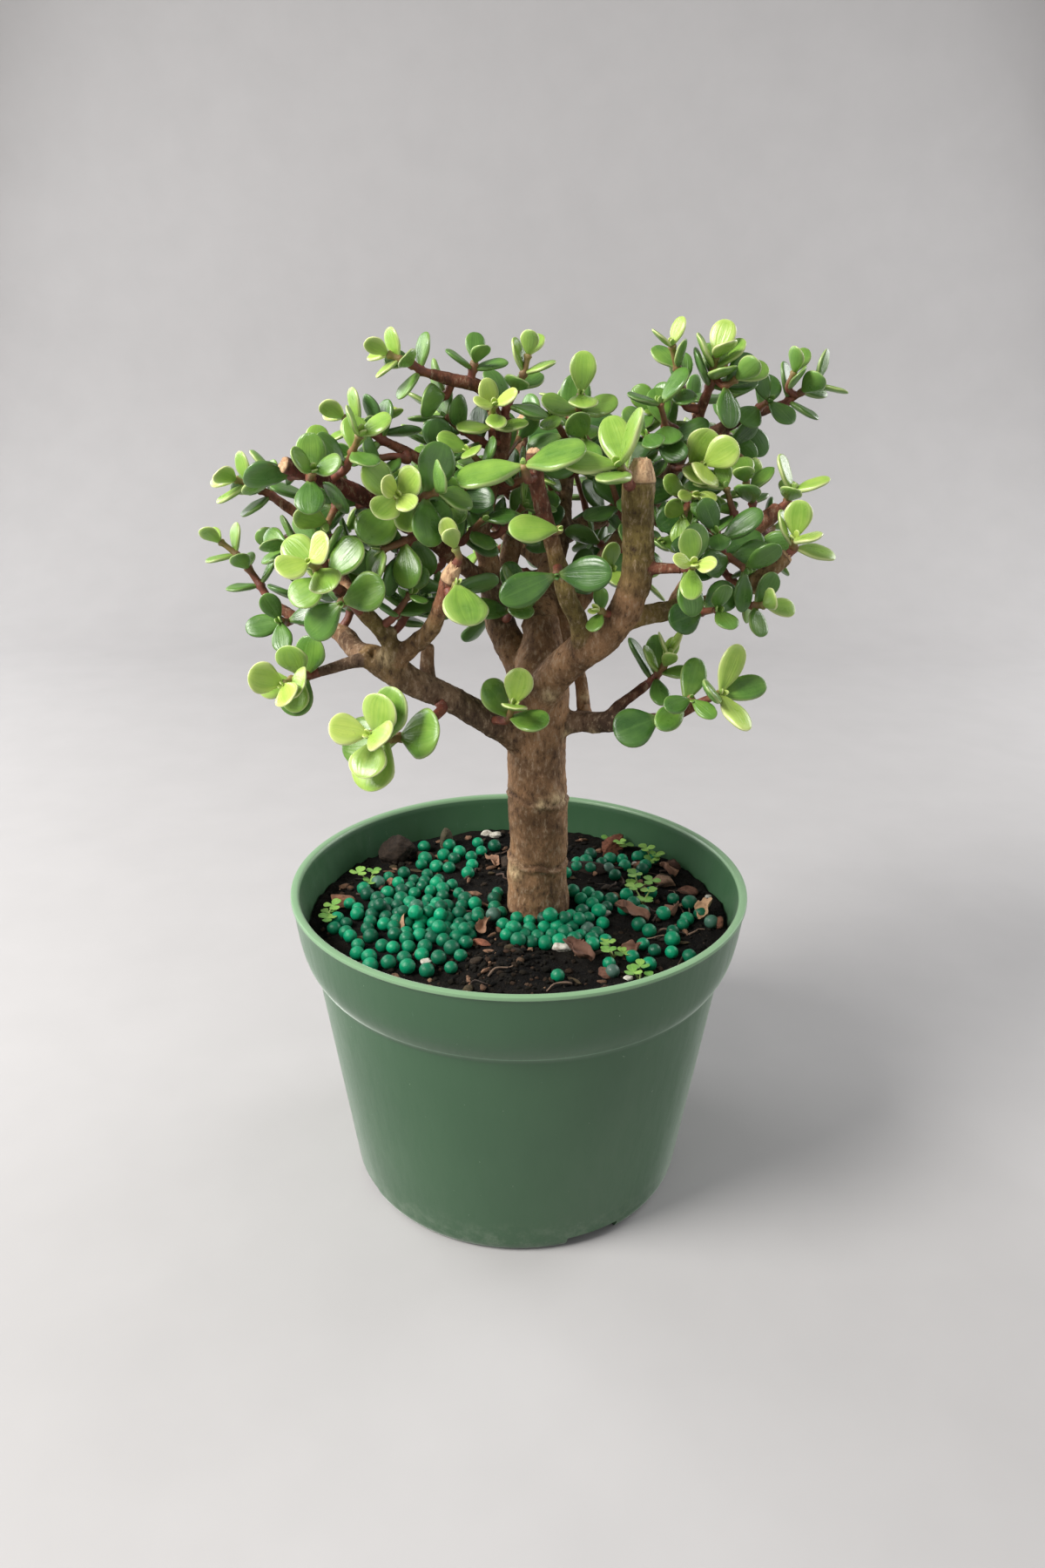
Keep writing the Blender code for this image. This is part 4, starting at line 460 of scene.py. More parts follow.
def grow():
    """Each limb's and stem's line, and the leaves of each spray, bent clear of all that is near them."""
    draw = random.Random(SEED)
    limb_lines = {name: smooth_line(rows, 1.5) for name, rows in LIMBS.items()}
    wood = np.vstack(list(limb_lines.values()))
    sprays, stems, node, ends_taken = list(SPRAYS), {}, {}, set()
    for spray in sprays:
        stems[spray.name] = smooth_line(np.array(stem_rows(spray, limb_lines, stems, ends_taken)), 1.0)
        node[spray.name] = node.get(spray.limb, spray.name)
    stem_points, stem_nodes = thick_stems(sprays, stems, node)
    leaf_points, leaf_nodes, leaves = np.zeros((0, 4)), np.array([], stem_nodes.dtype), []

    def lay_leaves(group):
        nonlocal leaf_points, leaf_nodes
        for spray in group:
            own = node[spray.name]
            for bud in leaf_pairs(spray, stems[spray.name], draw):
                reach = (bud.length * 1.1 + 6) ** 2

                def near(points):
                    return ((points[:, :3] - bud.base) ** 2).sum(axis=1) < reach

                close_wood = wood[near(wood)]
                by, its_stem = near(stem_points), stem_nodes == own
                at, its_leaf = near(leaf_points), leaf_nodes == own
                for turn, lift, scale in TRIES:
                    leaf = lay_leaf(bud, turn, lift, scale)
                    points = feelers(leaf)
                    blade = points[len(FEEL_ACROSS) :]
                    if (
                        is_clear(points, close_wood, WOOD_CLEAR)
                        and is_clear(points, stem_points[by & ~its_stem], STEM_CLEAR)
                        and is_clear(blade, stem_points[by & its_stem], OWN_STEM_CLEAR)
                        and is_clear(points, leaf_points[at & ~its_leaf], LEAF_CLEAR)
                        and is_clear(blade, leaf_points[at & its_leaf], OWN_LEAF_CLEAR)
                    ):
                        leaves.append((spray.name, own, leaf))
                        solid = np.column_stack([points, np.zeros(len(points))])
                        leaf_points = np.vstack([leaf_points, solid])
                        leaf_nodes = np.append(leaf_nodes, [own] * len(points))
                        break

    lay_leaves(sprays)
    twigs = []
    for spray, stem in grow_twigs(limb_lines, wood, stem_points, leaf_points):
        stems[spray.name] = stem
        node[spray.name] = spray.name
        twigs.append(spray)
    stem_points, stem_nodes = thick_stems(sprays + twigs, stems, node)
    lay_leaves(twigs)
    return limb_lines, sprays + twigs, stems, node, leaves


def thick_stems(sprays, stems, node):
    """The points of all the stems with their radii, and the node of each point."""
    points, nodes = [], []
    for spray in sprays:
        line = stems[spray.name]
        points.append(np.column_stack([line, np.linspace(*spray.radii, len(line))]))
        nodes += [node[spray.name]] * len(line)
    return np.vstack(points), np.array(nodes)


def drift(centre, reach, turn):
    """The middles of a drift's beads, without those that touch no other bead of it."""
    cos, sin = math.cos(turn), math.sin(turn)
    step = BEAD_RADIUS * math.sqrt(3)
    found = []
    for row in range(-12, 13):
        for column in range(-12, 13):
            x, y = (column + 0.5 * (row % 2)) * step, row * BEAD_RADIUS * 1.5
            inside = (x / reach[0]) ** 2 + (y / reach[1]) ** 2 < 1
            x, y = centre[0] + x * cos - y * sin, centre[1] + x * sin + y * cos
            if inside and bead_fits(x, y):
                found.append((x, y))
    held = [min(found, key=lambda place: math.dist(place, centre))]
    for place in held:
        beside = [other for other in found if math.dist(place, other) < step * 1.1]
        held += [other for other in beside if other not in held]
    return held


def bead_fits(x, y):
    """Clear of the wall, the trunk, the seedlings and the bark."""
    trunk = LIMBS["trunk"][1]
    stops = [(trunk[0], trunk[1], trunk[3])] + [(sx, sy, 1.2) for sx, sy in SEEDLINGS.values()]
    stops += [(cx, cy, max(size) * 1.1) for cx, cy, size, _ in CHIPS.values()]
    clear = all(math.hypot(x - sx, y - sy) > radius + BEAD_RADIUS + 0.4 for sx, sy, radius in stops)
    return clear and math.hypot(x, y) < SOIL_RADIUS - BEAD_RADIUS - 0.8


def soil_height(x, y):
    return SOIL_TOP - SOIL_FALL * (x * x + y * y) / SOIL_RADIUS**2

FINE_LEAF = (15, 16)  # sections along a leaf, and points round each
TWIG_LEAF = (12, 12)
FLESH = 0.17  # a leaf's thickness, as a share of its length
STEM_ROUND = 9
STEM_STEP = 0.7
BUD_LENGTH = 2.8
SCAR_RISE = 0.28  # how far a ring scar stands out of a limb

VOXEL = 0.56  # size of the cells that blend the limbs into one skin
LIMB_STEP = 0.8
TRUNK_ROUND = 28
LIMB_ROUND = 14

BROWN = (0.26, 0.155, 0.083)
GREY_BROWN = (0.165, 0.112, 0.073)
DARK_BROWN = (0.11, 0.066, 0.045)
RED_BROWN = (0.2, 0.078, 0.048)
DEEP_RED = (0.14, 0.04, 0.034)
OLIVE = (0.21, 0.165, 0.055)
OLIVE_BROWN = (0.23, 0.15, 0.068)

# The wood's colours: for each limb its colour at shares of its length.
PLAIN_TINTS = ((0, BROWN), (0.5, BROWN), (1, GREY_BROWN))
LIMB_TINTS = {
    "trunk": ((0, BROWN),),
    "left": ((0, BROWN), (0.3, GREY_BROWN), (0.7, GREY_BROWN), (1, OLIVE_BROWN)),
    "left_olive": ((0, OLIVE_BROWN), (0.5, OLIVE), (1, RED_BROWN)),
    "left_callus": ((0, BROWN), (0.5, OLIVE_BROWN), (0.8, RED_BROWN)),
    "left_prop": ((0, GREY_BROWN), (1, BROWN)),
    "left_dark": ((0, GREY_BROWN), (0.4, BROWN), (1, RED_BROWN)),
    "left_low": ((0, GREY_BROWN), (1, DARK_BROWN)),
    "left_high": ((0, BROWN), (1, RED_BROWN)),
    "cut_red": ((0, BROWN), (0.35, RED_BROWN), (0.6, DEEP_RED)),
    "stem_a": ((0.5, BROWN), (1, RED_BROWN)),
    "stem_b": ((0.6, BROWN), (1, RED_BROWN)),
    "top_left": ((0, RED_BROWN),),
    "arm_left": ((0, BROWN), (0.5, RED_BROWN)),
    "right": ((0.54, BROWN), (0.57, OLIVE_BROWN), (0.7, OLIVE)),
    "olive_stub": ((0, OLIVE_BROWN), (0.15, OLIVE), (0.45, OLIVE), (0.7, RED_BROWN)),
    "right_low": ((0, GREY_BROWN), (0.55, DARK_BROWN), (1, RED_BROWN)),
    "right_low_fork": ((0, DARK_BROWN), (1, RED_BROWN)),
    "right_prop": ((0, BROWN),),
    "right_olive": ((0, OLIVE_BROWN), (0.3, OLIVE), (0.75, OLIVE_BROWN)),
    "right_twin": ((0.4, BROWN), (1, RED_BROWN)),
    "right_fine": ((0, RED_BROWN),),
    "back_right_red": ((0, RED_BROWN),),
    "back_right_fork": ((0, DARK_BROWN), (1, RED_BROWN)),
}
# How much of a limb's end shows bare pale wood, in millimetres.
CUT_ENDS = {"cut_red": 0.7, "olive_stub": 1, "right": 5, "stem_b": 1.2, "right_olive": 1, "left_callus": 4.5}
TRUNK_RINGS = ((94.6, 0.55), (113.8, 0.5))  # height and depth of the rings round the trunk
# Warts of the bark: x, y, z, width and height.
WARTS = (
    (10.2, -5.4, 115.0, 2.3, 1.3), (6.0, -6.6, 113.9, 1.7, 0.8), (11.9, -2.6, 114.0, 1.6, 0.7),
    (-1.6, -3.6, 92.6, 2.6, 1.0), (-33.0, -19.4, 157.6, 2.3, 1.2), (-30.6, -19.0, 164.6, 1.6, 1.1),
    (16.5, -5.5, 151.0, 1.8, 0.6), (7.5, -7.0, 145.0, 2.0, 0.5), (12.0, -1.5, 133.0, 1.6, 0.6),
    (20.0, -2.5, 134.0, 1.6, 0.7), (27.5, -4.5, 136.0, 1.5, 0.6), (17.0, 4.5, 141.0, 1.5, 0.5),
)

LIP = 1.0  # height of the lip's outer edge
COLLAR_FALL = 0.45  # the share of the collar's taper that is straight
COLLAR_CURVE = 5.0  # how late it rounds in to the wall
POT_SIDES = 168
MIX_RINGS, MIX_SIDES = 66, 210

# Where beads lie loose: the corners of each patch, how many it holds, and single beads.
PATCHES = {
    "left": ((-52, -13), (-37, -36), (-17, -36), (-9, -7), (-25, 20), (-44, 20)),
    "ring": ((-9, -7), (1, -24), (22, -21), (27, 4), (18, 8), (-6, 10)),
    "right": ((26, -8), (44, -24), (56, -6), (48, 10), (32, 10)),
    "behind": ((16, 24), (36, 18), (44, 36), (24, 44)),
    "corner": ((-30, 22), (-12, 20), (-12, 44), (-34, 40)),
    "front": ((14, -26), (30, -46), (46, -26), (30, -16)),
}
PATCH_BEADS = {"left": 60, "ring": 36, "right": 16, "behind": 16, "corner": 14, "front": 9}
LOOSE_BEADS = ((10, -38), (30, -42), (49, 2), (45, -27), (-8, 40), (14, 20), (18, 30))
BEAD_TRIES = 60

# More bark chips: x, y, half sizes and colour.
MORE_CHIPS = (
    (-51, 2, (4.2, 3.0, 3.2), (0.15, 0.075, 0.045)),
    (-23.5, 44, (4.0, 2.2, 5.0), (0.06, 0.055, 0.035)),
    (20, 25, (8.5, 3.0, 2.2), (0.02, 0.014, 0.011)),
    (-38, 15, (2.2, 1.7, 1.6), (0.24, 0.12, 0.08)),
    (-41.5, 13, (1.8, 1.8, 1.4), (0.11, 0.05, 0.04)),
    (9, 39, (5.5, 3.2, 2.4), (0.03, 0.02, 0.015)),
    (-4, 30, (4.8, 3.4, 2.2), (0.035, 0.025, 0.018)),
    (44, 18, (4.4, 3.0, 2.2), (0.2, 0.13, 0.09)),
    (50, 12, (3.4, 2.0, 1.6), (0.1, 0.05, 0.035)),
    (56, -8, (3.4, 2.4, 2.0), (0.13, 0.06, 0.04)),
    (38, 29, (3.6, 2.2, 1.6), (0.16, 0.08, 0.055)),
    (-30, 33, (4.0, 3.0, 2.4), (0.05, 0.03, 0.022)),
    (48, 30, (3.4, 2.6, 1.8), (0.07, 0.04, 0.03)),
    (-10, -22, (3.0, 1.6, 1.2), (0.2, 0.08, 0.05)),
    (-26, -2, (3.0, 1.2, 1.0), (0.22, 0.15, 0.06)),
    (-34, -8, (3.2, 1.4, 1.0), (0.24, 0.17, 0.05)),
    (4, 50, (4.0, 2.6, 2.0), (0.05, 0.03, 0.02)),
    (22, -36, (2.4, 1.8, 1.4), (0.1, 0.05, 0.035)),
)
FLAKES = 170
FLAKE_COLOURS = (
    (0.03, 0.022, 0.015), (0.05, 0.038, 0.02), (0.012, 0.01, 0.008), (0.09, 0.05, 0.03), (0.17, 0.1, 0.065),
)
FINE_CRUMBS, HEAP_CRUMBS = 620, 280
HEAP_PLACE = (-3, -33)
# Dry leaves: x, y, turn in degrees, length, width and how far they curl.
DRY_LEAVES = (
    (22, -33, 150, 9, 5.5, 0.9), (27, -30, 60, 6, 4, 1.1), (40, -9, 175, 11, 4.5, 0.8),
    (50, -10, 60, 8, 5, 0.9), (47, 4, 240, 8, 4, 1.0), (-11, -20, 75, 6, 3.5, 0.9),
    (-31, -17, 100, 7, 3.5, 1.2), (-6, 24, 110, 8, 3, 1.2), (49, 20, 120, 8, 4, 0.8),
)
RIGHT_STICKS, OTHER_STICKS = 38, 26
# White mineral bits: x, y and half size.
WHITE_BITS = (
    (-11, 53, 1.5), (-8, 52, 1.6), (11.5, -23.5, 2.1), (24, -4, 1.5), (8, -12.5, 1.0), (-24, -31, 1.3),
    (47, 45, 1.2), (36, 30, 0.9), (28, -38, 1.0), (-37, 18, 0.9), (56, 10, 0.9),
)
WEEDS = {"left_back": (-54, -7), "behind": (32, 43), "right_far": (42, 33), "right_near": (35.5, 12)}

# A leaf's colours from the darkest and oldest to the youngest.
LEAF_SHADES = (
    (0, (0.038, 0.105, 0.02)), (0.3, (0.09, 0.205, 0.032)),
    (0.65, (0.235, 0.4, 0.055)), (1, (0.44, 0.56, 0.11)),
)

SPECULAR = "Specular IOR Level"
PAPER = (0.4, 0.392, 0.394)
# The lamps: name, place, height of the point they face, size, power and colour, in metres and watts.
LIGHTS = (
    ("key", (-0.56, -0.3, 0.68), 0.12, 0.4, 12.0, (1.0, 0.975, 0.94)),
    ("fill", (0.6, -0.55, 0.45), 0.12, 0.7, 0.7, (0.96, 0.98, 1.0)),
    ("rim left", (-0.75, 0.45, 0.42), 0.07, 0.6, 5.0, (1, 1, 1)),
    ("rim right", (0.75, 0.45, 0.42), 0.07, 0.6, 5.0, (1, 1, 1)),
)
CAMERA_DOWN, CAMERA_ROLL = 21.15, 0.5  # degrees


def round_axis(radius, height, sides):
    """A ring of points round the pot's axis."""
    turns = [2 * math.pi * k / sides for k in range(sides)]
    return [(radius * math.cos(turn), radius * math.sin(turn), height) for turn in turns]


def turned_faces(rings, sides):
    """The faces of a turned body: a fan round its first point, then a band from each ring to the next."""
    faces = [(0, 1 + k, 1 + (k + 1) % sides) for k in range(sides)]
    for low in range(1, 1 + (rings - 1) * sides, sides):
        for k in range(sides):
            step = (k + 1) % sides
            faces.append((low + k, low + sides + k, low + sides + step, low + step))
    return faces


def grid_faces(rows, columns):
    """The faces of a closed tube of points, with its two ends."""
    faces = []
    for i in range(rows - 1):
        for k in range(columns):
            low, high, step = i * columns, (i + 1) * columns, (k + 1) % columns
            faces.append((low + k, low + step, high + step, high + k))
    faces.append(tuple(range(columns))[::-1])
    faces.append(tuple(range((rows - 1) * columns, rows * columns)))
    return faces


def link(name, data):
    made = bpy.data.objects.new(name, data)
    bpy.context.scene.collection.objects.link(made)
    return made


def store(mesh, name, values):
    layer = mesh.attributes.new(name, "FLOAT_VECTOR", "POINT")
    layer.data.foreach_set("vector", np.asarray(values, np.float32).ravel())


class Heap:
    """A piece in the making: points in millimetres, faces and their material, two vectors for each point."""

    def __init__(self):
        self.points, self.faces, self.looks, self.place, self.kind = [], [], [], [], []
        self.count = 0

    def add(self, points, faces, look=0, place=(0, 0, 0), kind=(0, 0, 0)):
        points = np.asarray(points, float)
        self.points.append(points)
        self.faces += [tuple(self.count + k for k in face) for face in faces]
        self.looks += [look] * len(faces)
        self.place.append(np.broadcast_to(place, points.shape))
        self.kind.append(np.broadcast_to(kind, points.shape))
        self.count += len(points)

    def hold(self):
        """Presses all points in, clear of the pot's wall."""
        for k, points in enumerate(self.points):
            away = np.sqrt((points[:, :2] ** 2).sum(axis=1))[:, None]
            inwards = np.minimum(1, (SOIL_RADIUS - 0.3) / np.maximum(away, 1))
            self.points[k] = points * np.hstack([inwards, inwards, np.ones_like(away)])

    def piece(self, name, *looks):
        mesh = bpy.data.meshes.new(name)
        mesh.from_pydata((np.vstack(self.points) * MM).tolist(), [], self.faces)
        mesh.polygons.foreach_set("material_index", self.looks)
        for look in looks:
            mesh.materials.append(look)
        store(mesh, "place", np.vstack(self.place))
        store(mesh, "kind", np.vstack(self.kind))
        mesh.shade_smooth()
        return link(name, mesh)


def settle(piece):
    """Turns a piece's modifiers into its own mesh."""
    graph = bpy.context.evaluated_depsgraph_get()
    mesh = bpy.data.meshes.new_from_object(piece.evaluated_get(graph))
    piece.modifiers.clear()
    piece.data = mesh
    return mesh


def outline(share):
    """half_width for an array of shares."""
    grown = 0.10 + 0.90 * np.sin(np.pi / 2 * np.minimum(share, WIDEST) / WIDEST) ** 1.3
    closing = 1 - (np.maximum(share - WIDEST, 0) / (1 - WIDEST)) ** 2
    return grown * np.sqrt(np.maximum(0, closing))


def add_leaf(heap, leaf, draw, flesh=FLESH, bend=(-0.05, 0.06), curl=SPOON, notch=0.0, start=0.0, crush=0.0,
             mesh=FINE_LEAF):
    """A fleshy blade with a round margin and a shallow groove along its upper face."""
    rows, columns = mesh
    share = start + (1 - start) * np.sin(np.linspace(0, 1, rows) * math.pi / 2)[:, None]
    share[-1] = 0.9995
    turn = 2 * math.pi * np.arange(columns)[None, :] / columns
    sideways, upwards = np.cos(turn), np.sin(turn)
    half = leaf.width / 2 * outline(share)
    lean, phase, hue = draw.uniform(*bend), draw.uniform(0, 6.3), draw.random()
    swell = flesh * leaf.length / 2 * np.minimum(1, 0.45 + 2.2 * share) * np.sqrt(1 - share**5)
    swell = np.minimum(swell, np.maximum(half * 0.95, 0.02))
    rise = swell * np.sign(upwards) * np.abs(upwards) ** 0.75
    groove = 0.3 * swell * np.exp(-((sideways / 0.16) ** 2)) * (upwards > 0) * (1 - share)
    wave = 0.05 * half * np.sin(9 * share + phase) * sideways**3
    rise = rise - groove + curl * half * sideways**2 + wave + lean * leaf.length * share**2
    reach = share - notch * share**4 * (1 - np.abs(sideways)) ** 2
    points = (
        leaf.base
        + (leaf.length * reach)[..., None] * leaf.along
        + (half * sideways)[..., None] * np.cross(leaf.upper, leaf.along)
        + rise[..., None] * leaf.upper
    ).reshape(-1, 3)
    if crush:
        points = points + crush * np.array([noise.noise_vector(Vector(point) * 0.42) for point in points])
    flat = np.zeros((rows, columns))
    edge = np.maximum(np.abs(sideways) + flat, np.clip((share - 0.8) / 0.2, 0, 1))
    place = np.stack([sideways + flat, share + flat, (upwards < -0.1) + flat], -1).reshape(-1, 3)
    kind = np.stack([flat + leaf.age, edge, flat + hue], -1).reshape(-1, 3)
    heap.add(points, grid_faces(rows, columns), 0, place, kind)


def ring_points(line, radii, sides):
    """The points of a tube round a line."""
    points, side = [], None
    turns = 2 * math.pi * np.arange(sides) / sides
    for i, (centre, radius) in enumerate(zip(line, radii)):
        along = unit(line[min(i + 1, len(line) - 1)] - line[max(i - 1, 0)])
        side = across(along)[0] if side is None else unit(side - along * float((side * along).sum()))
        other = np.cross(along, side)
        points.append(centre + radius * (np.cos(turns)[:, None] * side + np.sin(turns)[:, None] * other))
    return np.vstack(points)


def run_along(line):
    """How far along the line each of its points lies."""
    return np.concatenate([[0], np.cumsum(np.sqrt(((line[1:, :3] - line[:-1, :3]) ** 2).sum(axis=1)))])


def add_tube(heap, line, radii, sides, look, kind):
    """A round-ended tube. The first value of its place is the length from its root."""
    run = run_along(line)
    end = unit(line[-1] - line[-2])
    line = np.vstack([line, line[-1] + end * radii[-1] * 0.35, line[-1] + end * radii[-1] * 0.55])
    radii = np.concatenate([radii, [radii[-1] * 0.8, radii[-1] * 0.35]])
    run = np.concatenate([run, [run[-1], run[-1]]])
    place = np.repeat(np.stack([run, run / run[-1], 0 * run], -1), sides, axis=0)
    heap.add(ring_points(line, radii, sides), grid_faces(len(line), sides), look, place, kind)


def resampled(line, step):
    """The line with its points this far apart."""
    run = run_along(line)
    places = np.linspace(0, run[-1], max(3, int(run[-1] / step) + 1))
    return np.stack([np.interp(places, run, line[:, k]) for k in range(line.shape[1])], -1)


def finish_piece(made, slot, *nodes):
    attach(made, "root")
    if nodes:
        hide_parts(*nodes)


def make_foliage(sprays, stems, node, leaves, *looks):
    """A piece for each leafy stem: red stems with their swollen nodes, leaves and a bud at each tip."""
    twigs = Heap()
    for name in dict.fromkeys(node.values()):
        is_twig = name.startswith("twig")
        heap = twigs if is_twig else Heap()
        draw = random.Random(name)
        own = [leaf for _, leaf_node, leaf in leaves if leaf_node == name]
        for spray in sprays:
            if node[spray.name] != name:
                continue
            line = stems[spray.name]
            if spray.limb in LIMBS:
                line = np.vstack([line[0] - unit(line[1] - line[0]) * 1.3, line])
            line = resampled(line, STEM_STEP)
            radii = np.linspace(spray.radii[0], spray.radii[1] * 0.85, len(line))
            for leaf in own:
                away = np.sqrt(((line - leaf.base) ** 2).sum(axis=1))
                radii = radii + 0.22 * np.exp(-((away / 0.55) ** 2))
            young = 0.5 * (spray.age[0] + spray.age[1])
            add_tube(heap, line, radii, STEM_ROUND, 1, (young, 0, draw.random()))
            add_bud(heap, line, spray, draw)
        for leaf in own:
            add_leaf(heap, leaf, draw, mesh=TWIG_LEAF if is_twig else FINE_LEAF)
        if not is_twig:
            finish_piece(heap.piece("leafy_" + name, *looks), "leaves", "spray_" + name)
    finish_piece(twigs.piece("leafy_twigs", *looks), "leaves")


def add_bud(heap, line, spray, draw):
    """Two small leaves still pressed together at a stem's tip."""
    direction = unit(line[-1] - line[-3])
    side, front = across(direction)
    turn = math.radians(spray.phase + 90 * spray.pairs + draw.uniform(-20, 20))
    out = side * math.cos(turn) + front * math.sin(turn)
    length = BUD_LENGTH * draw.uniform(0.7, 1.2)
    base, age = line[-1] - direction * 0.3, min(1, spray.age[1] + 0.2)
    for way in (1, -1):
        opening = math.radians(draw.uniform(10, 26))
        along = direction * math.cos(opening) + out * (way * math.sin(opening))
        upper = direction * math.sin(opening) - out * (way * math.cos(opening))
        add_leaf(heap, Leaf(base, along, upper, length, length * 0.55, age), draw, flesh=0.26)


def scars(name, run, spread):
    """How much of an old leaf's ring scar lies at each place along a limb."""
    draw = random.Random(name)
    amount, place, last = np.zeros(len(run)), draw.uniform(2, 6), max(run, default=0)
    while place < last:
        amount += draw.uniform(0.4, 1) * np.exp(-(((run - place) / spread) ** 2))
        place += draw.uniform(4.5, 9)
    return amount


def make_wood(limb_lines, look):
    """The trunk and its limbs in one skin, with ring scars, warts and cracked bark."""
    heap = Heap()
    for name, line in limb_lines.items():
        line = resampled(line, LIMB_STEP)
        run = np.arange(len(line)) * LIMB_STEP
        radii = line[:, 3]
        if name == "right":
            radii = radii * (1 + 0.22 * np.linspace(0, 1, len(line)) ** 2)
        if name != "trunk":
            radii = radii + SCAR_RISE * min(1, line[0, 3] / 2.5) * scars(name, run, 0.8)
            radii = radii * (1 + 0.28 * np.exp(-run / 2.5))
        sides = TRUNK_ROUND if name == "trunk" else LIMB_ROUND
        heap.add(ring_points(line[:, :3], radii, sides), grid_faces(len(line), sides))
    wood = heap.piece("wood")
    wood.modifiers.new("Skin", "REMESH").voxel_size = VOXEL * MM
    soften = wood.modifiers.new("Soften", "SMOOTH")
    soften.factor, soften.iterations = 0.6, 4
    mesh = settle(wood)
    shape_bark(mesh, limb_lines)
    mesh.materials.clear()
    mesh.materials.append(look)
    mesh.shade_smooth()
    finish_piece(wood, "bark", "trunk")


def nearest_wood(points, wood):
    """For each point the index of the limb point whose surface is nearest, found block by block."""
    best = np.empty(len(points), int)
    for start in range(0, len(points), 4000):
        apart = points[start : start + 4000, None, :] - wood[None, :, :3]
        signed = np.sqrt((apart**2).sum(axis=2)) - wood[None, :, 3]
        best[start : start + 4000] = signed.argmin(axis=1)
    return best


def shape_bark(mesh, limb_lines):
    """Moves the skin in and out as bark, and stores each point's colour, bare wood, scars and warts."""
    count = len(mesh.vertices)
    points, normals = np.empty(count * 3), np.empty(count * 3)
    mesh.vertices.foreach_get("co", points)
    mesh.vertex_normals.foreach_get("vector", normals)
    points, normals = points.reshape(-1, 3) / MM, normals.reshape(-1, 3)
    lines = [resampled(line, 1.0) for line in limb_lines.values()]
    wood = np.vstack(lines)
    best = nearest_wood(points, wood)
    owner = np.concatenate([[k] * len(line) for k, line in enumerate(lines)])[best]
    share = np.concatenate([np.linspace(0, 1, len(line)) for line in lines])[best]
    run = np.concatenate([np.arange(len(line)) for line in lines])[best]
    tint, pale, scar = np.zeros((count, 3)), np.zeros(count), np.zeros(count)
    for k, name in enumerate(limb_lines):
        mine = owner == k
        places, colours = zip(*LIMB_TINTS.get(name, PLAIN_TINTS))
        for channel in range(3):
            tint[mine, channel] = np.interp(share[mine], places, [colour[channel] for colour in colours])
        if name != "trunk":
            scar[mine] = scars(name, run[mine], 0.9)
        if name in CUT_ENDS:
            tip, bare = limb_lines[name][-1, :3], CUT_ENDS[name]
            away = unit(tip - limb_lines[name][-3, :3])
            behind = ((points[mine] - tip) * away).sum(axis=1)
            pale[mine] = np.clip((behind + bare) / 0.6 + 0.5, 0, 1)
            reach = np.clip((behind + bare) / bare, 0, 1)
            axis = tip + behind[:, None] * away
            torn = relief(axis + 2 * (points[mine] - axis), 1.3, (0, 0, 0))
            points[mine] = axis + (points[mine] - axis) * (1 - 0.34 * reach**1.4)[:, None]
            points[mine] += (away * 0.9) * (torn * reach)[:, None]
    rough = np.array([bark_height(Vector(point), size) for point, size in zip(points, wood[best, 3])])
    rough = rough * (1 - 0.5 * pale)
    on_trunk = owner == 0
    for height, depth in TRUNK_RINGS:
        tilt = points[:, 2] - height + 0.12 * points[:, 0] + 0.4 * np.sin(points[:, 0] * 0.8)
        groove = 0.9 * np.exp(-(((tilt - 1.1) / 0.5) ** 2))
        rough += on_trunk * depth * (np.exp(-((tilt / 0.7) ** 2)) - groove)
        scar = np.maximum(scar, on_trunk * np.exp(-(((tilt - 1.0) / 0.65) ** 2)))
    wart = np.zeros(count)
    for x, y, z, size, height in WARTS:
        away = ((points - np.array([x, y, z])) ** 2).sum(axis=1) / size**2
        rough += np.exp(-away) * height - 0.75 * height * np.exp(-away * 9)
        wart = np.maximum(wart, np.exp(-away * 1.2))
    mesh.vertices.foreach_set("co", ((points + normals * rough[:, None]) * MM).ravel())
    for layer in ("place", "kind"):
        if layer in mesh.attributes:
            mesh.attributes.remove(mesh.attributes[layer])
    store(mesh, "tint", tint)
    store(mesh, "mark", np.stack([pale, scar, wart], -1))
    mesh.update()


def bark_height(point, radius):
    """The bark's relief at a point, in millimetres."""
    broad = noise.noise(point * 0.22) * 0.05 * radius
    lumps = noise.noise(point * 0.75 + Vector((7, 0, 0))) * 0.13
    cracks = abs(noise.noise(Vector((point.x * 1.5, point.y * 1.5, point.z * 0.8)))) * -0.22
    return broad + (lumps + cracks) * min(1, radius / 4)


def relief(points, scale, place):
    """Smooth noise at each point, at this scale and moved to this place of it."""
    return np.array([noise.noise(Vector(point) * scale + Vector(place)) for point in points])


def rough_soil(x, y):
    """The mix's surface: its mound, low lumps and crumbs, and a heap near the front."""
    point = Vector((x, y, 0))
    lumps = 0.9 * noise.noise(point * 0.1) + 0.8 * noise.noise(point * 0.28) + 0.5 * noise.noise(point * 0.8)
    crumbs = 0.35 * abs(noise.noise(point * 1.6))
    heap = 2.6 * math.exp(-((x + 3) ** 2 + (y + 34) ** 2) / 80)
    return soil_height(x, y) + lumps + crumbs + heap - 0.2


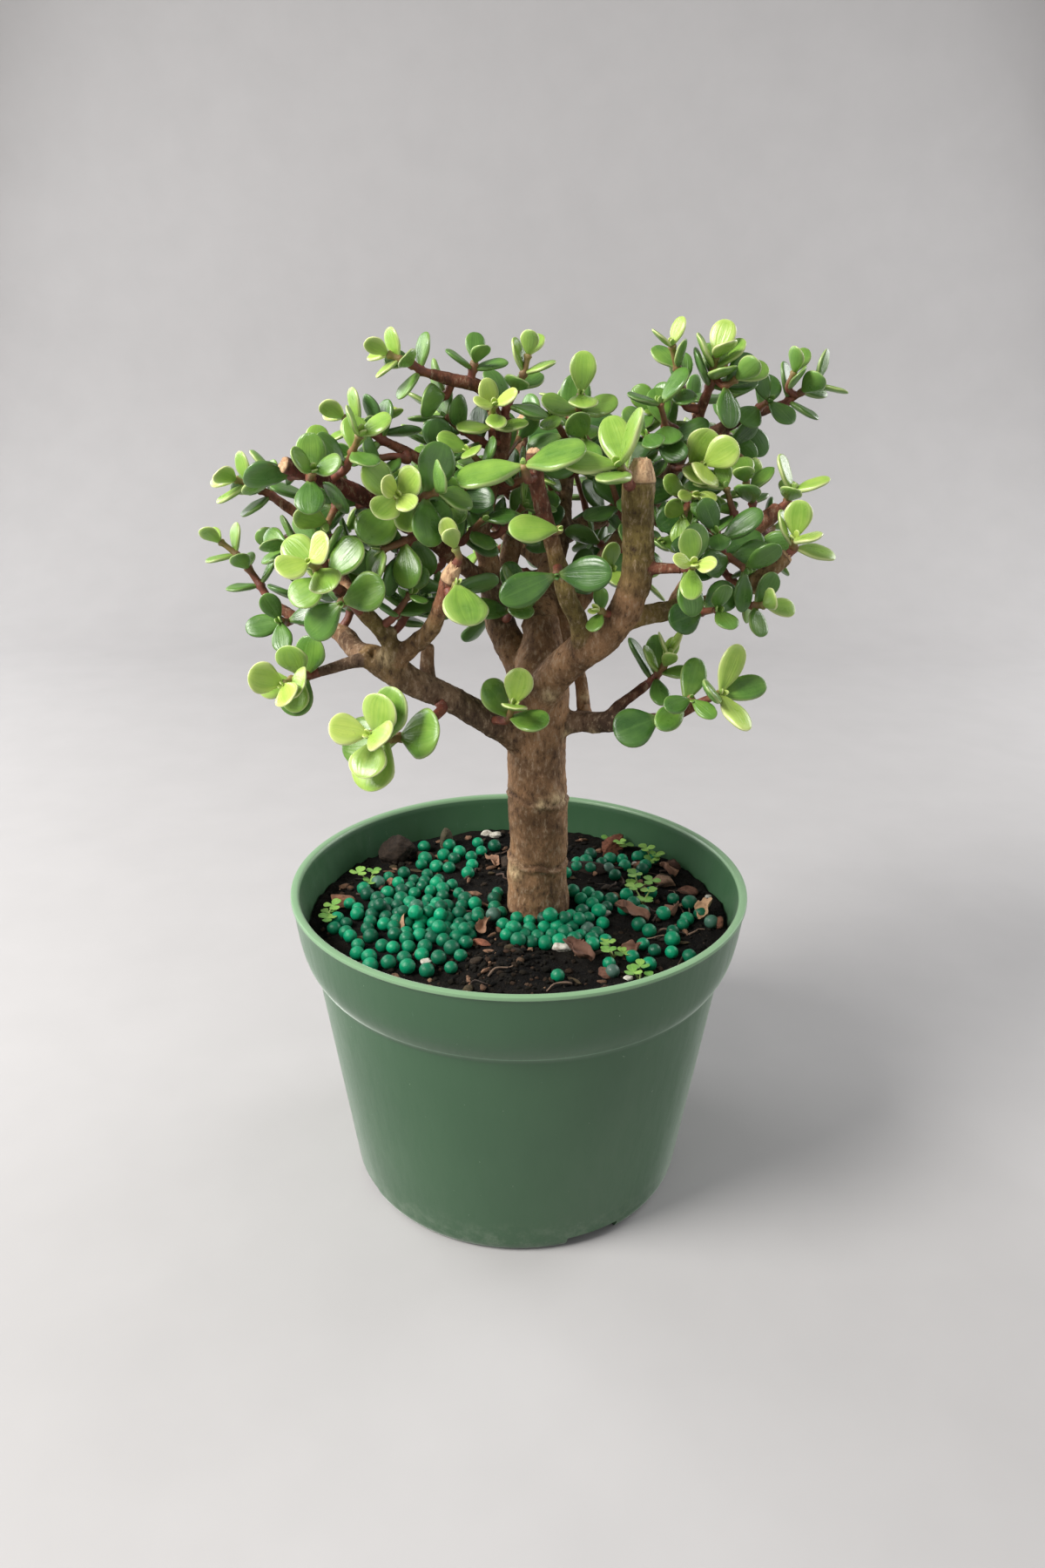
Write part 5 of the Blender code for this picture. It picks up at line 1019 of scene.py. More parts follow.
def make_mix(look):
    """The mix: a rough top on a body that fills the pot. Gives its surface, which the loose things lie on."""
    points = [(0, 0, rough_soil(0, 0))]
    for i in range(1, MIX_RINGS + 1):
        level = round_axis((SOIL_RADIUS + 1.1) * i / MIX_RINGS, 0, MIX_SIDES)
        points += [(x, y, rough_soil(x, y)) for x, y, _ in level]
    inner = WALL + GAP
    body = [(COLLAR_RADIUS - inner, COLLAR_LOW + 0.9), (WALL_TOP - inner, COLLAR_LOW - 0.8)]
    body += [(BASE_RADIUS - 1 - GAP, FLOOR + 1.6), (BASE_RADIUS - 2.8, FLOOR + GAP)]
    for radius, height in body:
        points += round_axis(radius, height, MIX_SIDES)
    faces = turned_faces(MIX_RINGS + len(body), MIX_SIDES)
    faces.append(tuple(range(len(points) - MIX_SIDES, len(points)))[::-1])
    heap = Heap()
    heap.add(points, faces)
    finish_piece(heap.piece("mix", look), "potting_mix", "potting_mix")
    return BVHTree.FromPolygons([Vector(point) for point in points], faces[: MIX_SIDES * MIX_RINGS])


def ground(surface, x, y):
    """The height of the mix at a place."""
    hit = surface.ray_cast(Vector((x, y, 150)), Vector((0, 0, -1)))[0]
    return hit.z if hit else soil_height(x, y)


def from_trunk(x, y):
    return math.hypot(x - LIMBS["trunk"][1][0], y - LIMBS["trunk"][1][1])


def spot_within(radius, draw):
    """A random place on the mix."""
    turn, away = draw.uniform(0, 2 * math.pi), radius * math.sqrt(draw.random())
    return away * math.cos(turn), away * math.sin(turn)


def ball(detail):
    """The points and faces of a unit ball."""
    shape = bmesh.new()
    bmesh.ops.create_icosphere(shape, subdivisions=detail, radius=1)
    points = np.array([vert.co[:] for vert in shape.verts])
    faces = [tuple(vert.index for vert in face.verts) for face in shape.faces]
    shape.free()
    return points, faces


def in_polygon(x, y, corners):
    inside = False
    for (ax, ay), (bx, by) in zip(corners, corners[1:] + corners[:1]):
        if (ay > y) != (by > y) and x < (bx - ax) * (y - ay) / (by - ay) + ax:
            inside = not inside
    return inside


def bead_places(draw):
    """The beads of each drift, and the loose ones, as x, y, radius and layer."""
    placed, held = {}, []
    for name, (centre, reach, turn) in BEADS.items():
        cells = drift(centre, reach, turn)
        low = []
        for x, y in cells:
            low.append((x + draw.uniform(-0.5, 0.5), y + draw.uniform(-0.5, 0.5), draw.uniform(1.75, 2.2), 0))
        upper = draw.sample(cells, len(cells) // 4)
        high = [(x + 1.9, y + 1.1, draw.uniform(1.75, 2.1), 1) for x, y in upper]
        placed[name] = low + high
        held += low
    placed["beads_loose"] = []
    wanted = [(name, None) for name, count in PATCH_BEADS.items() for _ in range(count)]
    for patch, spot in wanted + [(None, spot) for spot in LOOSE_BEADS]:
        for _ in range(BEAD_TRIES):
            if spot:
                x, y = spot
            else:
                x, y = [draw.uniform(min(side), max(side)) for side in zip(*PATCHES[patch])]
            radius = draw.uniform(1.7, 2.2)
            apart = all(math.hypot(x - hx, y - hy) > 0.93 * (radius + hr) for hx, hy, hr, _ in held)
            if spot or (in_polygon(x, y, PATCHES[patch]) and apart and bead_fits(x, y)):
                held.append((x, y, radius, 0))
                placed["beads_loose"].append(held[-1])
                break
    return placed


def make_beads(surface, look):
    draw = random.Random(SEED)
    points, faces = ball(3)
    for name, beads in bead_places(draw).items():
        heap = Heap()
        for x, y, radius, layer in beads:
            middle = np.array([x, y, ground(surface, x, y) + radius * (0.72 + 1.25 * layer)])
            squash = np.array([1, 1, draw.uniform(0.93, 1.0)])
            kind = (draw.random(), draw.random(), 0)
            dented = points * (1 + 0.04 * relief(points, 1.6, (x, y, 0)))[:, None]
            heap.add(dented * radius * squash + middle, faces, 0, points, kind)
        nodes = [name] if name in BEADS else []
        finish_piece(heap.piece(name.replace("beads", "feed_beads"), look), "feed_beads", *nodes)


def add_chip(heap, x, y, size, colour, surface, draw, shape):
    """A splinter of bark: a ball with flat sides cut on it and a rough skin."""
    points, faces = shape[0].copy(), shape[1]
    for _ in range(9):
        way = unit(np.array([draw.uniform(-1, 1) for _ in range(3)]))
        over = points @ way - draw.uniform(0.5, 0.8)
        points -= np.maximum(over, 0)[:, None] * way
    place = (x, y, size[0])
    rough = relief(points, 3.2, place) * 0.10 + relief(points, 9, place) * 0.05
    points = points * (1 + rough[:, None]) * np.array(size)
    points = turned_about(points, draw.uniform(0, 6.28), draw.uniform(-0.25, 0.25))
    points = points + np.array([x, y, ground(surface, x, y) + size[2] * 0.45])
    heap.add(points, faces, 0, points, colour)


def turned_about(points, turn, tip):
    """The points turned round the upright and then tipped about X."""
    spin = np.array([[math.cos(turn), -math.sin(turn), 0], [math.sin(turn), math.cos(turn), 0], [0, 0, 1]])
    lean = np.array([[1, 0, 0], [0, math.cos(tip), -math.sin(tip)], [0, math.sin(tip), math.cos(tip)]])
    return points @ (lean @ spin).T


def make_chips(surface, look):
    draw = random.Random(SEED + 1)
    fine, coarse, small = ball(5), ball(3), ball(2)
    for name, (x, y, size, colour) in CHIPS.items():
        heap = Heap()
        add_chip(heap, x, y, [side * 1.15 for side in size], colour, surface, draw, fine)
        finish_piece(heap.piece("mulch_" + name, look), "bark_chips", name)
    heap = Heap()
    for x, y, size, colour in MORE_CHIPS:
        add_chip(heap, x, y, size, colour, surface, draw, coarse)
    for _ in range(FLAKES):
        x, y = spot_within(SOIL_RADIUS - 3, draw)
        if from_trunk(x, y) > 12 and not in_polygon(x, y, PATCHES["left"]):
            size = [draw.uniform(1.2, 3), draw.uniform(0.6, 1.5), draw.uniform(0.4, 0.9)]
            add_chip(heap, x, y, size, draw.choice(FLAKE_COLOURS), surface, draw, small)
    heap.hold()
    finish_piece(heap.piece("mulch_bits", look), "bark_chips")


def make_crumbs(surface, look):
    """Crumbs of the mix, fine ones everywhere and coarse ones on the heap near the front."""
    draw = random.Random(SEED + 2)
    points, faces = ball(2)
    heap = Heap()
    for k in range(FINE_CRUMBS + HEAP_CRUMBS):
        if k < FINE_CRUMBS:
            x, y = spot_within(SOIL_RADIUS - 1, draw)
        else:
            x, y = draw.gauss(HEAP_PLACE[0], 7.5), draw.gauss(HEAP_PLACE[1], 7)
        if math.hypot(x, y) > SOIL_RADIUS - 1 or from_trunk(x, y) < 9.5:
            continue
        size = draw.uniform(0.3, 0.75) * (1.5 if draw.random() < 0.15 else 1)
        stretch = np.array([draw.uniform(0.7, 1.4), draw.uniform(0.7, 1.3), draw.uniform(0.6, 1)])
        rough = (1 + 0.5 * relief(points, 1.7, (x, y, 0)))[:, None]
        middle = np.array([x, y, ground(surface, x, y) + 0.3 * size])
        heap.add(points * rough * stretch * size + middle, faces, kind=(draw.random(), draw.random(), 0))
    finish_piece(heap.piece("crumbs", look), "potting_mix")


def make_dry_leaves(surface, draw, look):
    heap = Heap()
    for x, y, degrees, length, width, curl in DRY_LEAVES:
        turn = math.radians(degrees)
        along = unit(np.array([math.cos(turn), math.sin(turn), draw.uniform(-0.1, 0.25)]))
        upper = unit(UP + np.array([draw.uniform(-0.5, 0.5), draw.uniform(-0.5, 0.5), 0]))
        upper = unit(upper - along * float((upper * along).sum()))
        base = np.array([x, y, ground(surface, x, y) + 1.0])
        leaf = Leaf(base, along, upper, length * 1.3, width, draw.random())
        add_leaf(heap, leaf, draw, flesh=0.05, bend=(-0.1, 0.3), curl=curl, start=0.3, crush=1.3)
    heap.hold()
    finish_piece(heap.piece("dry_leaves", look), "bark_chips")


def make_sticks(surface, draw, look):
    """Thin dry twigs, most of them at the right."""
    heap = Heap()
    for k in range(RIGHT_STICKS + OTHER_STICKS):
        if k < RIGHT_STICKS:
            x, y = draw.uniform(28, 54), draw.uniform(-18, 34)
        else:
            x, y = draw.uniform(-50, 40), draw.uniform(-45, 45)
        if math.hypot(x, y) > SOIL_RADIUS - 8 or from_trunk(x, y) < 13:
            continue
        turn, length = draw.uniform(0, 2 * math.pi), draw.uniform(4, 9)
        rows = []
        for j in range(4):
            px = x + math.cos(turn) * length * j / 3 + draw.uniform(-0.8, 0.8)
            py = y + math.sin(turn) * length * j / 3 + draw.uniform(-0.8, 0.8)
            rows.append((px, py, ground(surface, px, py) + 0.4 + draw.uniform(0, 0.9) * (j in (1, 2))))
        line = smooth_line(rows, 0.8)
        thick = draw.uniform(0.16, 0.42)
        kind = (draw.random(), draw.random(), 0)
        add_tube(heap, line, np.linspace(thick, thick * 0.6, len(line)), 6, 0, kind)
    finish_piece(heap.piece("twigs", look), "bark_chips")


def make_white_bits(surface, draw, look):
    points, faces = ball(3)
    heap = Heap()
    for x, y, size in WHITE_BITS:
        rough, stretch = 1 + 0.35 * relief(points, 1.5, (x, y, 0)), np.array([1.2, 0.85, 0.75])
        middle = np.array([x, y, ground(surface, x, y) + size * 0.4])
        kind = (draw.random(), 0, 0)
        heap.add(points * rough[:, None] * size * stretch + middle, faces, 0, points, kind)
    heap.hold()
    finish_piece(heap.piece("white_bits", look), "bark_chips")


def make_weed(name, x, y, surface, looks, nodes=()):
    """A weed seedling: thin stalks from one root, each with three notched leaflets."""
    draw = random.Random(name)
    heap = Heap()
    root = np.array([x, y, ground(surface, x, y) - 0.8])
    for k in range(3):
        turn = math.pi * (k * 0.7 + draw.uniform(-0.15, 0.15)) + x
        out = np.array([math.cos(turn), math.sin(turn), 0])
        head = root + out * draw.uniform(2.2, 3.6) + UP * (2.9 + 0.9 * k)
        head[:2] *= min(1, (SOIL_RADIUS - 4) / math.hypot(head[0], head[1]))
        line = smooth_line([root, root + UP * 1.6 + out * 0.5, (root + head) / 2 + UP * 0.7, head], 0.6)
        add_tube(heap, line, np.linspace(0.32, 0.22, len(line)), 7, 1, (0.8, 0, draw.random()))
        for j in range(3):
            spin = turn + 2 * math.pi * j / 3
            along = unit(np.array([math.cos(spin), math.sin(spin), draw.uniform(0.0, 0.35)]))
            upper = unit(UP - along * float((UP * along).sum()))
            size = draw.uniform(2.4, 3.2)
            leaflet = Leaf(head - along * 0.15, along, upper, size, size * 0.95, 0.62)
            add_leaf(heap, leaflet, draw, flesh=0.07, notch=0.28)
    finish_piece(heap.piece(name, *looks), "seedlings", *nodes)


def make_pot(look):
    """The pot's shell: a turned wall with its collar and rolled lip, cut by the drain slots."""
    lip_foot = POT_HEIGHT - LIP
    rings = [(BASE_RADIUS - 2.6, FLOOR), (BASE_RADIUS - 1.4, FLOOR + 0.5), (BASE_RADIUS - 1, FLOOR + 1.4)]
    rings += [(WALL_TOP - WALL, COLLAR_LOW - 0.9), (COLLAR_RADIUS - WALL - 0.2, COLLAR_LOW + 0.4)]
    rings += [(COLLAR_RADIUS - WALL + 0.1, COLLAR_LOW + 1.2)]
    over = ((2.5, 2.6), (2.3, 0.7), (1.95, 0.15), (1.6, 0), (0.35, 0), (0.1, 0.12), (0, 0.4))
    rings += [(POT_RADIUS - inset, POT_HEIGHT - drop) for inset, drop in over]
    under = ((0, 0.1), (0.1, 0), (0.3, -0.15), (0.4, -0.5))
    rings += [(POT_RADIUS - inset, lip_foot + rise) for inset, rise in under]
    low, high = COLLAR_LOW - 1.6, lip_foot - 0.5
    for share in (k / 15 for k in range(1, 15)):
        curve = COLLAR_FALL * share + (1 - COLLAR_FALL) * share**COLLAR_CURVE
        rings.append((POT_RADIUS - 0.4 - (POT_RADIUS - 0.4 - WALL_TOP) * curve, high + (low - high) * share))
    rings += [(WALL_TOP, low), (WALL_TOP - 0.1, low - 0.8)]
    foot = ((0.9, 3.2), (0.55, 1.9), (0, 0.9), (-0.5, 0.25), (-1.1, 0))
    rings += [(BASE_RADIUS + wider, height) for wider, height in foot]
    points = [(0, 0, FLOOR)]
    for radius, height in rings:
        points += round_axis(radius, height, POT_SIDES)
    end, last = len(points), len(points) - POT_SIDES
    points.append((0, 0, 0))
    faces = turned_faces(len(rings), POT_SIDES)
    faces += [(last + k, end, last + (k + 1) % POT_SIDES) for k in range(POT_SIDES)]
    heap = Heap()
    heap.add(points, faces)
    pot = heap.piece("pot_shell", look)
    cutters = [slot_cutter(SLOT_TURN + 90 * k) for k in range(4)]
    for cutter in cutters:
        cut = pot.modifiers.new("Slot", "BOOLEAN")
        cut.operation, cut.object = "DIFFERENCE", cutter
    mesh = settle(pot)
    for cutter in cutters:
        bpy.data.objects.remove(cutter)
    mesh.shade_smooth()
    mesh.set_sharp_from_angle(angle=math.radians(38))
    finish_piece(pot, "pot", "pot")


def slot_cutter(degrees):
    turn = math.radians(degrees)
    out = np.array([math.sin(turn), -math.cos(turn), 0])
    side = np.array([math.cos(turn), math.sin(turn), 0])
    points = []
    for height in (-1, SLOT_HEIGHT):
        for away, half in ((SLOT_INNER, -1), (SLOT_OUTER, -1), (SLOT_OUTER, 1), (SLOT_INNER, 1)):
            points.append(out * away + side * (half * SLOT_WIDTH / 2) + UP * height)
    heap = Heap()
    heap.add(points, [(0, 3, 2, 1), (4, 5, 6, 7), (0, 1, 5, 4), (1, 2, 6, 5), (2, 3, 7, 6), (3, 0, 4, 7)])
    return heap.piece("slot")


class Look:
    """A Principled material in the making. Its colour is painted in layers, one over the other."""

    def __init__(self, name, roughness=0.5, **settings):
        self.material = bpy.data.materials.new(name)
        self.material.use_nodes = True
        self.tree = self.material.node_tree
        self.shader = self.tree.nodes["Principled BSDF"]
        self.set(self.shader, {"Roughness": roughness, **settings})
        self.coords = self.add("TexCoord", {}).outputs["Object"]
        self.colour = None

    def set(self, node, values):
        for key, value in values.items():
            socket = node.inputs[key]
            if isinstance(value, bpy.types.NodeSocket):
                self.tree.links.new(value, socket)
            else:
                socket.default_value = (*value, 1) if socket.type == "RGBA" and len(value) == 3 else value

    def add(self, kind, values, **settings):
        node = self.tree.nodes.new("ShaderNode" + kind)
        for key, value in settings.items():
            setattr(node, key, value)
        self.set(node, values)
        return node

    def stored(self, name, output="Vector"):
        return self.add("Attribute", {}, attribute_name=name).outputs[output]

    def value(self, name):
        """A stored vector's three parts."""
        return self.add("SeparateXYZ", {0: self.stored(name)}).outputs[:3]

    def stretched(self, upwards):
        """Coordinates with noise drawn out, or pressed together, along the upright."""
        return self.add("Mapping", {"Vector": self.coords, "Scale": (1.0, 1.0, upwards)}).outputs[0]

    def noise(self, scale, detail=4, rough=0.55, vector=None):
        values = {"Vector": vector or self.coords, "Scale": scale, "Detail": detail, "Roughness": rough}
        return self.add("TexNoise", values).outputs["Fac"]

    def math(self, operation, a, b=0.0, clamp=False):
        return self.add("Math", {0: a, 1: b}, operation=operation, use_clamp=clamp).outputs[0]

    def times(self, a, b):
        return self.math("MULTIPLY", a, b)

    def plus(self, a, b):
        return self.math("ADD", a, b)

    def span(self, value, low, high, to_low=0.0, to_high=1.0):
        """The value between low and high, brought to the other two."""
        values = {"Value": value, "From Min": low, "From Max": high, "To Min": to_low, "To Max": to_high}
        return self.add("MapRange", values).outputs[0]

    def mix(self, factor, a, b, blend="MIX"):
        return self.add("Mix", {0: factor, 6: a, 7: b}, data_type="RGBA", blend_type=blend).outputs[2]

    def ramp(self, factor, stops):
        node = self.add("ValToRGB", {0: factor})
        while len(node.color_ramp.elements) < len(stops):
            node.color_ramp.elements.new(0.5)
        for element, (place, colour) in zip(node.color_ramp.elements, stops):
            element.position, element.color = place, (*colour, 1)
        return node.outputs[0]

    def paint(self, factor, colour):
        """Lays a colour over the present one, as far as the factor says."""
        self.colour = self.mix(factor, self.colour, colour)

    def bump(self, height, strength, distance):
        values = {"Height": height, "Strength": strength, "Distance": distance}
        self.set(self.shader, {"Normal": self.add("Bump", values).outputs[0]})

    def done(self, roughness=None):
        self.set(self.shader, {"Base Color": self.colour})
        if roughness is not None:
            self.set(self.shader, {"Roughness": roughness})
        return self.material


def leaf_look():
    """Waxy leaves: deep green when old and lime when young, with a pale margin and faint veins along them."""
    look = Look("leaf", 0.4)
    across_share, share, under = look.value("place")
    age, edge, hue = look.value("kind")
    patchy = look.noise(160, 3)
    tone = look.plus(age, look.span(patchy, 0.3, 0.7, -0.12, 0.12))
    look.colour = look.ramp(look.plus(tone, look.span(hue, 0, 1, -0.13, 0.13)), LEAF_SHADES)
    along = look.add("CombineXYZ", {0: look.times(across_share, 9.0), 1: share, 2: look.times(hue, 40.0)})
    veins = look.noise(1.0, 2, 0.4, along.outputs[0])
    darker = look.mix(1.0, look.colour, (0.5, 0.68, 0.45), "MULTIPLY")
    look.paint(look.span(veins, 0.4, 0.68, 0.0, 0.3), darker)
    look.paint(look.span(look.math("ABSOLUTE", across_share), 0.0, 0.1, 0.14, 0.0), (0.2, 0.38, 0.09))
    look.paint(look.span(share, 0.0, 0.22, 0.55, 0.0), (0.33, 0.42, 0.12))
    look.paint(look.times(under, 0.35), (0.16, 0.33, 0.1))
    margin = look.times(look.span(edge, 0.45, 0.95), look.span(age, 0.45, 0.85))
    look.paint(look.times(margin, 0.45), (0.62, 0.7, 0.26))
    rim = look.times(look.span(edge, 0.9, 1.0), look.span(age, 0.2, 0.75, 0.05, 0.85))
    look.paint(rim, (0.74, 0.76, 0.4))
    fleck = look.noise(900, 2)
    look.paint(look.span(fleck, 0.7, 0.78, 0.0, 0.35), (0.2, 0.24, 0.08))
    look.bump(look.plus(look.times(veins, 0.6), look.times(fleck, 0.25)), 0.35, 0.0004)
    return look.done(look.span(patchy, 0.3, 0.7, 0.24, 0.38))


def stem_look():
    """Red-brown young stems with pale dots, greener on the youngest."""
    look = Look("stem", 0.55)
    share, young = look.value("place")[1], look.value("kind")[0]
    patchy = look.noise(500, 3)
    look.colour = look.mix(look.span(patchy, 0.3, 0.7), (0.13, 0.035, 0.026), (0.24, 0.075, 0.04))
    green = look.times(look.span(share, 0.45, 1.0), look.span(young, 0.2, 0.8, 0.1, 0.75))
    look.paint(green, (0.27, 0.33, 0.08))
    dots = look.noise(1500, 1)
    look.paint(look.span(dots, 0.68, 0.76, 0.0, 0.6), (0.45, 0.25, 0.16))
    look.bump(look.plus(patchy, dots), 0.3, 0.0003)
    return look.done()


def bark_look():
    """Dry bark: blotches, fine cracks round the limb, pale dots, bare wood at the cuts."""
    look = Look("bark", 0.8, **{SPECULAR: 0.25})
    tint = look.stored("tint", "Color")
    pale, scar, wart = look.value("mark")
    broad = look.noise(90, 5, 0.65)
    fine = look.noise(800, 5, 0.72, look.stretched(0.45))
    shaded = look.mix(1.0, tint, (0.42, 0.38, 0.36), "MULTIPLY")
    light = look.mix(1.0, tint, (1.6, 1.5, 1.4), "MULTIPLY")
    look.colour = look.mix(look.span(broad, 0.36, 0.64, 0.05, 0.85), shaded, light)
    look.paint(look.span(fine, 0.53, 0.66, 0.0, 0.6), (0.46, 0.34, 0.23))
    look.paint(look.span(fine, 0.47, 0.34, 0.0, 0.8), (0.05, 0.03, 0.02))
    look.paint(look.times(scar, look.span(fine, 0.3, 0.6, 1.0, 0.25)), (0.04, 0.022, 0.015))
    dots = look.add("TexVoronoi", {"Vector": look.coords, "Scale": 420}).outputs["Distance"]
    spots = look.times(look.span(dots, 0.2, 0.08), look.span(broad, 0.5, 0.62, 0.0, 0.5))
    look.paint(spots, (0.55, 0.4, 0.28))
    look.paint(look.times(wart, look.span(fine, 0.4, 0.55, 0.25, 0.85)), (0.68, 0.52, 0.3))
    bare = look.mix(look.span(look.noise(380, 4, 0.7), 0.35, 0.65), (0.5, 0.29, 0.16), (0.74, 0.52, 0.31))
    look.paint(pale, look.mix(look.span(fine, 0.5, 0.32, 0.0, 0.8), bare, (0.17, 0.08, 0.045)))
    ring = look.span(look.math("ABSOLUTE", look.math("SUBTRACT", pale, 0.3)), 0.0, 0.28, 0.85, 0.0)
    look.paint(ring, (0.055, 0.026, 0.018))
    look.bump(look.plus(fine, look.times(broad, 0.4)), 0.8, 0.0007)
    return look.done(look.span(fine, 0.3, 0.7, 0.9, 0.66))


def mix_look():
    """Dark moist mix with brown and pale grains."""
    look = Look("mix", 0.92, **{SPECULAR: 0.12})
    look.colour = look.mix(look.span(look.noise(60), 0.35, 0.7), (0.003, 0.003, 0.003), (0.009, 0.007, 0.005))
    grains = look.noise(1100, 3, 0.7)
    look.paint(look.span(grains, 0.55, 0.75, 0.0, 0.5), (0.035, 0.023, 0.015))
    look.paint(look.span(look.noise(1700, 1), 0.73, 0.78, 0.0, 0.5), (0.2, 0.15, 0.1))
    look.bump(grains, 1.0, 0.001)
    return look.done()


def crumb_look():
    look = Look("crumb", 0.92, **{SPECULAR: 0.12})
    tone, rare, _ = look.value("kind")
    shades = ((0, (0.003, 0.003, 0.003)), (0.75, (0.011, 0.009, 0.006)), (1, (0.045, 0.026, 0.017)))
    look.colour = look.ramp(tone, shades)
    look.paint(look.span(rare, 0.95, 0.97), (0.2, 0.12, 0.075))
    look.bump(look.noise(1400, 3), 0.8, 0.0006)
    return look.done()


def bead_look():
    """Coated feed beads: emerald, a few darker or dusted grey."""
    look = Look("feed bead", 0.42, **{SPECULAR: 0.3})
    tone, wet, _ = look.value("kind")
    shades = ((0, (0.0, 0.075, 0.036)), (0.55, (0.0, 0.17, 0.078)), (1, (0.001, 0.27, 0.125)))
    look.colour = look.ramp(tone, shades)
    look.paint(look.times(look.span(wet, 0.95, 0.97), 0.75), (0.07, 0.11, 0.095))
    look.paint(look.times(look.span(wet, 0.1, 0.06), 0.7), (0.004, 0.035, 0.022))
    patchy = look.noise(420)
    look.paint(look.span(patchy, 0.5, 0.7, 0.0, 0.5), (0.004, 0.1, 0.05))
    specks = look.noise(1900, 2)
    look.paint(look.span(specks, 0.66, 0.76, 0.0, 0.5), (0.015, 0.014, 0.01))
    look.bump(look.plus(patchy, look.times(specks, 0.5)), 0.35, 0.0005)
    return look.done(look.span(patchy, 0.3, 0.7, 0.34, 0.55))


def chip_look():
    look = Look("mulch", 0.88, **{SPECULAR: 0.25})
    tint = look.stored("kind", "Color")
    grain = look.noise(420, 5, 0.7, look.stretched(3.0))
    dark = look.mix(1.0, tint, (0.45, 0.42, 0.4), "MULTIPLY")
    light = look.mix(1.0, tint, (1.7, 1.6, 1.5), "MULTIPLY")
    look.colour = look.mix(look.span(grain, 0.3, 0.7), dark, light)
    look.bump(grain, 0.9, 0.0009)
    return look.done()


def dry_leaf_look():
    look = Look("dry leaf", 0.8)
    shades = ((0, (0.085, 0.035, 0.024)), (0.5, (0.22, 0.11, 0.065)), (1, (0.36, 0.22, 0.12)))
    look.colour = look.ramp(look.value("kind")[0], shades)
    patchy = look.noise(380, 5, 0.7)
    look.paint(look.span(patchy, 0.5, 0.75, 0.0, 0.7), (0.05, 0.025, 0.018))
    look.bump(patchy, 0.6, 0.0006)
    return look.done()


def twig_look():
    look = Look("twig", 0.85)
    shades = ((0, (0.02, 0.013, 0.01)), (0.6, (0.08, 0.045, 0.03)), (1, (0.28, 0.19, 0.13)))
    look.colour = look.ramp(look.value("kind")[0], shades)
    fine = look.noise(900, 3)
    look.paint(look.span(fine, 0.5, 0.7, 0.0, 0.5), (0.03, 0.02, 0.014))
    look.bump(fine, 0.6, 0.0004)
    return look.done()


def white_look():
    look = Look("mineral bit", 0.85)
    fine = look.noise(700)
    look.colour = look.mix(look.span(fine, 0.35, 0.65), (0.3, 0.27, 0.22), (0.62, 0.6, 0.53))
    look.bump(fine, 0.8, 0.0006)
    return look.done()


def weed_look():
    look = Look("weed leaf", 0.5)
    across_share, hue = look.value("place")[0], look.value("kind")[2]
    patchy = look.noise(350, 3)
    tone = look.math("ADD", hue, look.span(patchy, 0.3, 0.7, -0.3, 0.3), clamp=True)
    look.colour = look.mix(tone, (0.095, 0.25, 0.04), (0.21, 0.38, 0.07))
    look.paint(look.span(look.math("ABSOLUTE", across_share), 0.0, 0.12, 0.4, 0.0), (0.3, 0.45, 0.13))
    look.bump(patchy, 0.3, 0.0003)
    return look.done()


def weed_stem_look():
    look = Look("weed stalk", 0.55)
    look.colour = look.mix(look.span(look.noise(600, 2), 0.3, 0.7), (0.2, 0.3, 0.07), (0.33, 0.4, 0.13))
    look.bump(look.noise(900, 2), 0.2, 0.0002)
    return look.done()


def pot_look():
    """Moulded green plastic, satin, with faint flow marks, fine scuffs and dust near the foot."""
    sheen = {"Sheen Weight": 0.6, "Sheen Roughness": 0.22, "Sheen Tint": (0.85, 0.95, 0.85)}
    look = Look("pot plastic", 0.36, **sheen)
    z = look.add("SeparateXYZ", {0: look.coords}).outputs[2]
    broad = look.span(look.noise(14, 3), 0.35, 0.65)
    look.colour = look.mix(broad, (0.034, 0.094, 0.042), (0.045, 0.115, 0.052))
    # Painted highlight: the rolled lip is painted a paler green, standing in for the light that its top
    # catches.
    lip = look.span(z, (POT_HEIGHT - LIP - 0.1) * MM, (POT_HEIGHT - LIP + 0.2) * MM)
    look.paint(look.times(lip, 0.85), (0.2, 0.34, 0.19))
    seam = look.math("ABSOLUTE", look.math("SUBTRACT", z, (COLLAR_LOW - 0.2) * MM))
    look.paint(look.span(seam, 0.0, 0.0004, 0.6, 0.0), (0.17, 0.3, 0.19))
    drawn_out = look.stretched(0.18)
    scuffs = look.noise(330, 6, 0.75, drawn_out)
    look.paint(look.span(scuffs, 0.66, 0.8, 0.0, 0.35), (0.2, 0.34, 0.24))
    look.paint(look.span(look.noise(95, 2, 0.5, drawn_out), 0.75, 0.79, 0.0, 0.7), (0.018, 0.05, 0.03))
    dust = look.times(look.span(z, 0.012, 0.0), look.span(look.noise(260, 5, 0.7), 0.45, 0.7))
    look.paint(look.times(dust, 0.55), (0.24, 0.3, 0.22))
    look.paint(look.span(look.noise(900, 2, 0.5), 0.76, 0.8, 0.0, 0.6), (0.34, 0.42, 0.33))
    ripple = look.noise(60, 3, 0.5, drawn_out)
    look.bump(look.plus(look.times(ripple, 0.5), look.times(scuffs, 0.12)), 0.25, 0.0012)
    return look.done(look.span(scuffs, 0.3, 0.8, 0.3, 0.5))


def paper_look():
    look = Look("studio paper", 0.75)
    shade = tuple(part * 0.96 for part in PAPER)
    look.colour = look.mix(look.span(look.noise(30, 3), 0.3, 0.7), PAPER, shade)
    return look.done()


